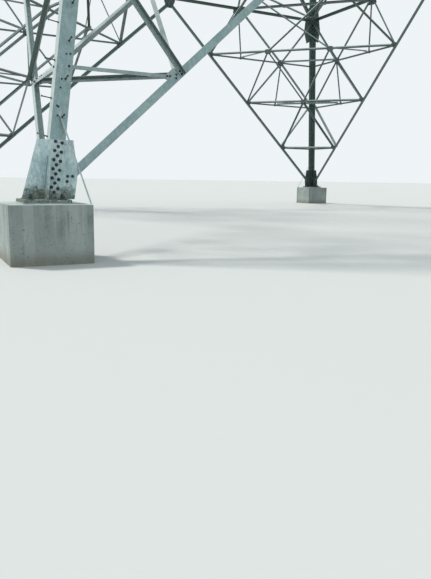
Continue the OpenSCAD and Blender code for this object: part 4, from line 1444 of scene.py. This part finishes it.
def anchor_mesh():
    """Square washer, nut, lock nut and thread end, standing on z 0."""
    bm = bmesh.new()
    flat = Matrix.Diagonal((ANCHOR_WASHER, ANCHOR_WASHER, WASHER_TOP, 1))
    bmesh.ops.create_cube(bm, size=1, matrix=Matrix.Translation((0, 0, WASHER_TOP / 2)) @ flat)
    disc(bm, 6, ANCHOR_NUT_R, WASHER_TOP, NUT_TOP)
    disc(bm, 6, LOCK_NUT_R, NUT_TOP, LOCK_TOP)
    disc(bm, 12, ANCHOR_R, LOCK_TOP, STUB_TOP)
    chamfer(bm, [e for e in bm.edges if edge_rise(e) < LEVEL_WITHIN], ANCHOR_CHAMFER)
    return new_mesh("anchor_pattern", bm)


ANCHOR = anchor_mesh()
bm = bmesh.new()
for i, (sx, sy) in enumerate(((-1, -1), (1, -1), (1, 1), (-1, 1))):
    spot = FOOT_CENTRE + Vector((sx * ANCHOR_OFF, sy * ANCHOR_OFF, 0))
    add_copy(bm, ANCHOR, Matrix.Translation(spot) @ Matrix.Rotation(ANCHOR_TURN * i, 4, "Z"))
foot_anchors = new_mesh("foot_anchor_pattern", bm)
print("faces of an anchor", len(ANCHOR.polygons))

# %% [markdown]
# ## One weld bead
# The crossed plates of a shoe are welded to the base plate and to each other. A plain fillet could do,
# but its lumps are what the eye sees: a six-sided bead is cut into rings, every other ring is
# swollen a little, and a slow wave keeps the lumps from being all alike.

# %% One weld bead
BEAD_R, LUMP_PITCH = 0.010, 0.014
SWELL, WAVE, WAVE_STEP = 0.16, 0.08, 2.3


def bead_mesh(length):
    """Lumpy bead along Z, centred on the origin."""
    bm = bmesh.new()
    disc(bm, 6, BEAD_R, -length / 2, length / 2)
    rings = max(2, round(length / LUMP_PITCH))
    long_edges = [e for e in bm.edges if edge_rise(e) > length / 2]
    bmesh.ops.subdivide_edges(bm, edges=long_edges, cuts=rings - 1)
    for v in bm.verts:
        ring = round((v.co.z / length + 0.5) * rings)
        lump = 1 + SWELL * (ring % 2) + WAVE * math.sin(ring * WAVE_STEP)
        v.co.x *= lump
        v.co.y *= lump
    return new_mesh("bead_pattern", bm)


def weld(bm, a, b):
    """Bead from a to b."""
    turn = (b - a).normalized().to_track_quat("Z", "Y").to_matrix().to_4x4()
    add_copy(bm, bead_mesh((b - a).length), Matrix.Translation((a + b) / 2) @ turn)


print("lumps every", LUMP_PITCH, "m")

# %% [markdown]
# ## Anchors and welds at each shoe
# Beads run along both sides of the two crossed plates on the base plate, and up the three corners
# where a plate or the rib meets another. Each shoe could be welded by itself, but the near left one's
# beads are made once and turned to each corner, as the shoes themselves are.

# %% Anchors and welds at each shoe
PLATE_OUT = -0.022
BASE_HALF, SHOE_OUT = 0.36, 0.345
RIB_H, WING_H = 0.662, 0.92
heel = FOOT_CENTRE + Vector((1, 1, 0)) * LEAN * (BASE_TOP - PIER_TOP)
out_x, in_x = heel.x - SHOE_OUT, FOOT_CENTRE.x + BASE_HALF
front, back = heel.y + PLATE_OUT, heel.y
ON_BASE = (
    (front, out_x, front), (front, back, in_x),
    (back, out_x, front), (back, heel.x + LEG_W, in_x),
)
UPRIGHT = ((front, front, RIB_H), (back, front, RIB_H), (front, back, WING_H))
bm = bmesh.new()
for y, x0, x1 in ON_BASE:
    weld(bm, Vector((x0, y, BASE_TOP)), Vector((x1, y, BASE_TOP)))
    weld(bm, Vector((y, x0, BASE_TOP)), Vector((y, x1, BASE_TOP)))
rise = Vector((LEAN, LEAN, 1))
for x, y, height in UPRIGHT:
    weld(bm, Vector((x, y, BASE_TOP)), Vector((x, y, BASE_TOP)) + rise * height)
foot_welds = new_mesh("foot_weld_pattern", bm)
for k, corner in enumerate(CORNERS):
    add_joined(corner + "_anchors", [foot_anchors], corner_turn(k), "bolt_steel")
    add_joined(corner + "_welds", [foot_welds], corner_turn(k), "shoe_steel")
print("faces of one foot's welds", len(foot_welds.polygons))
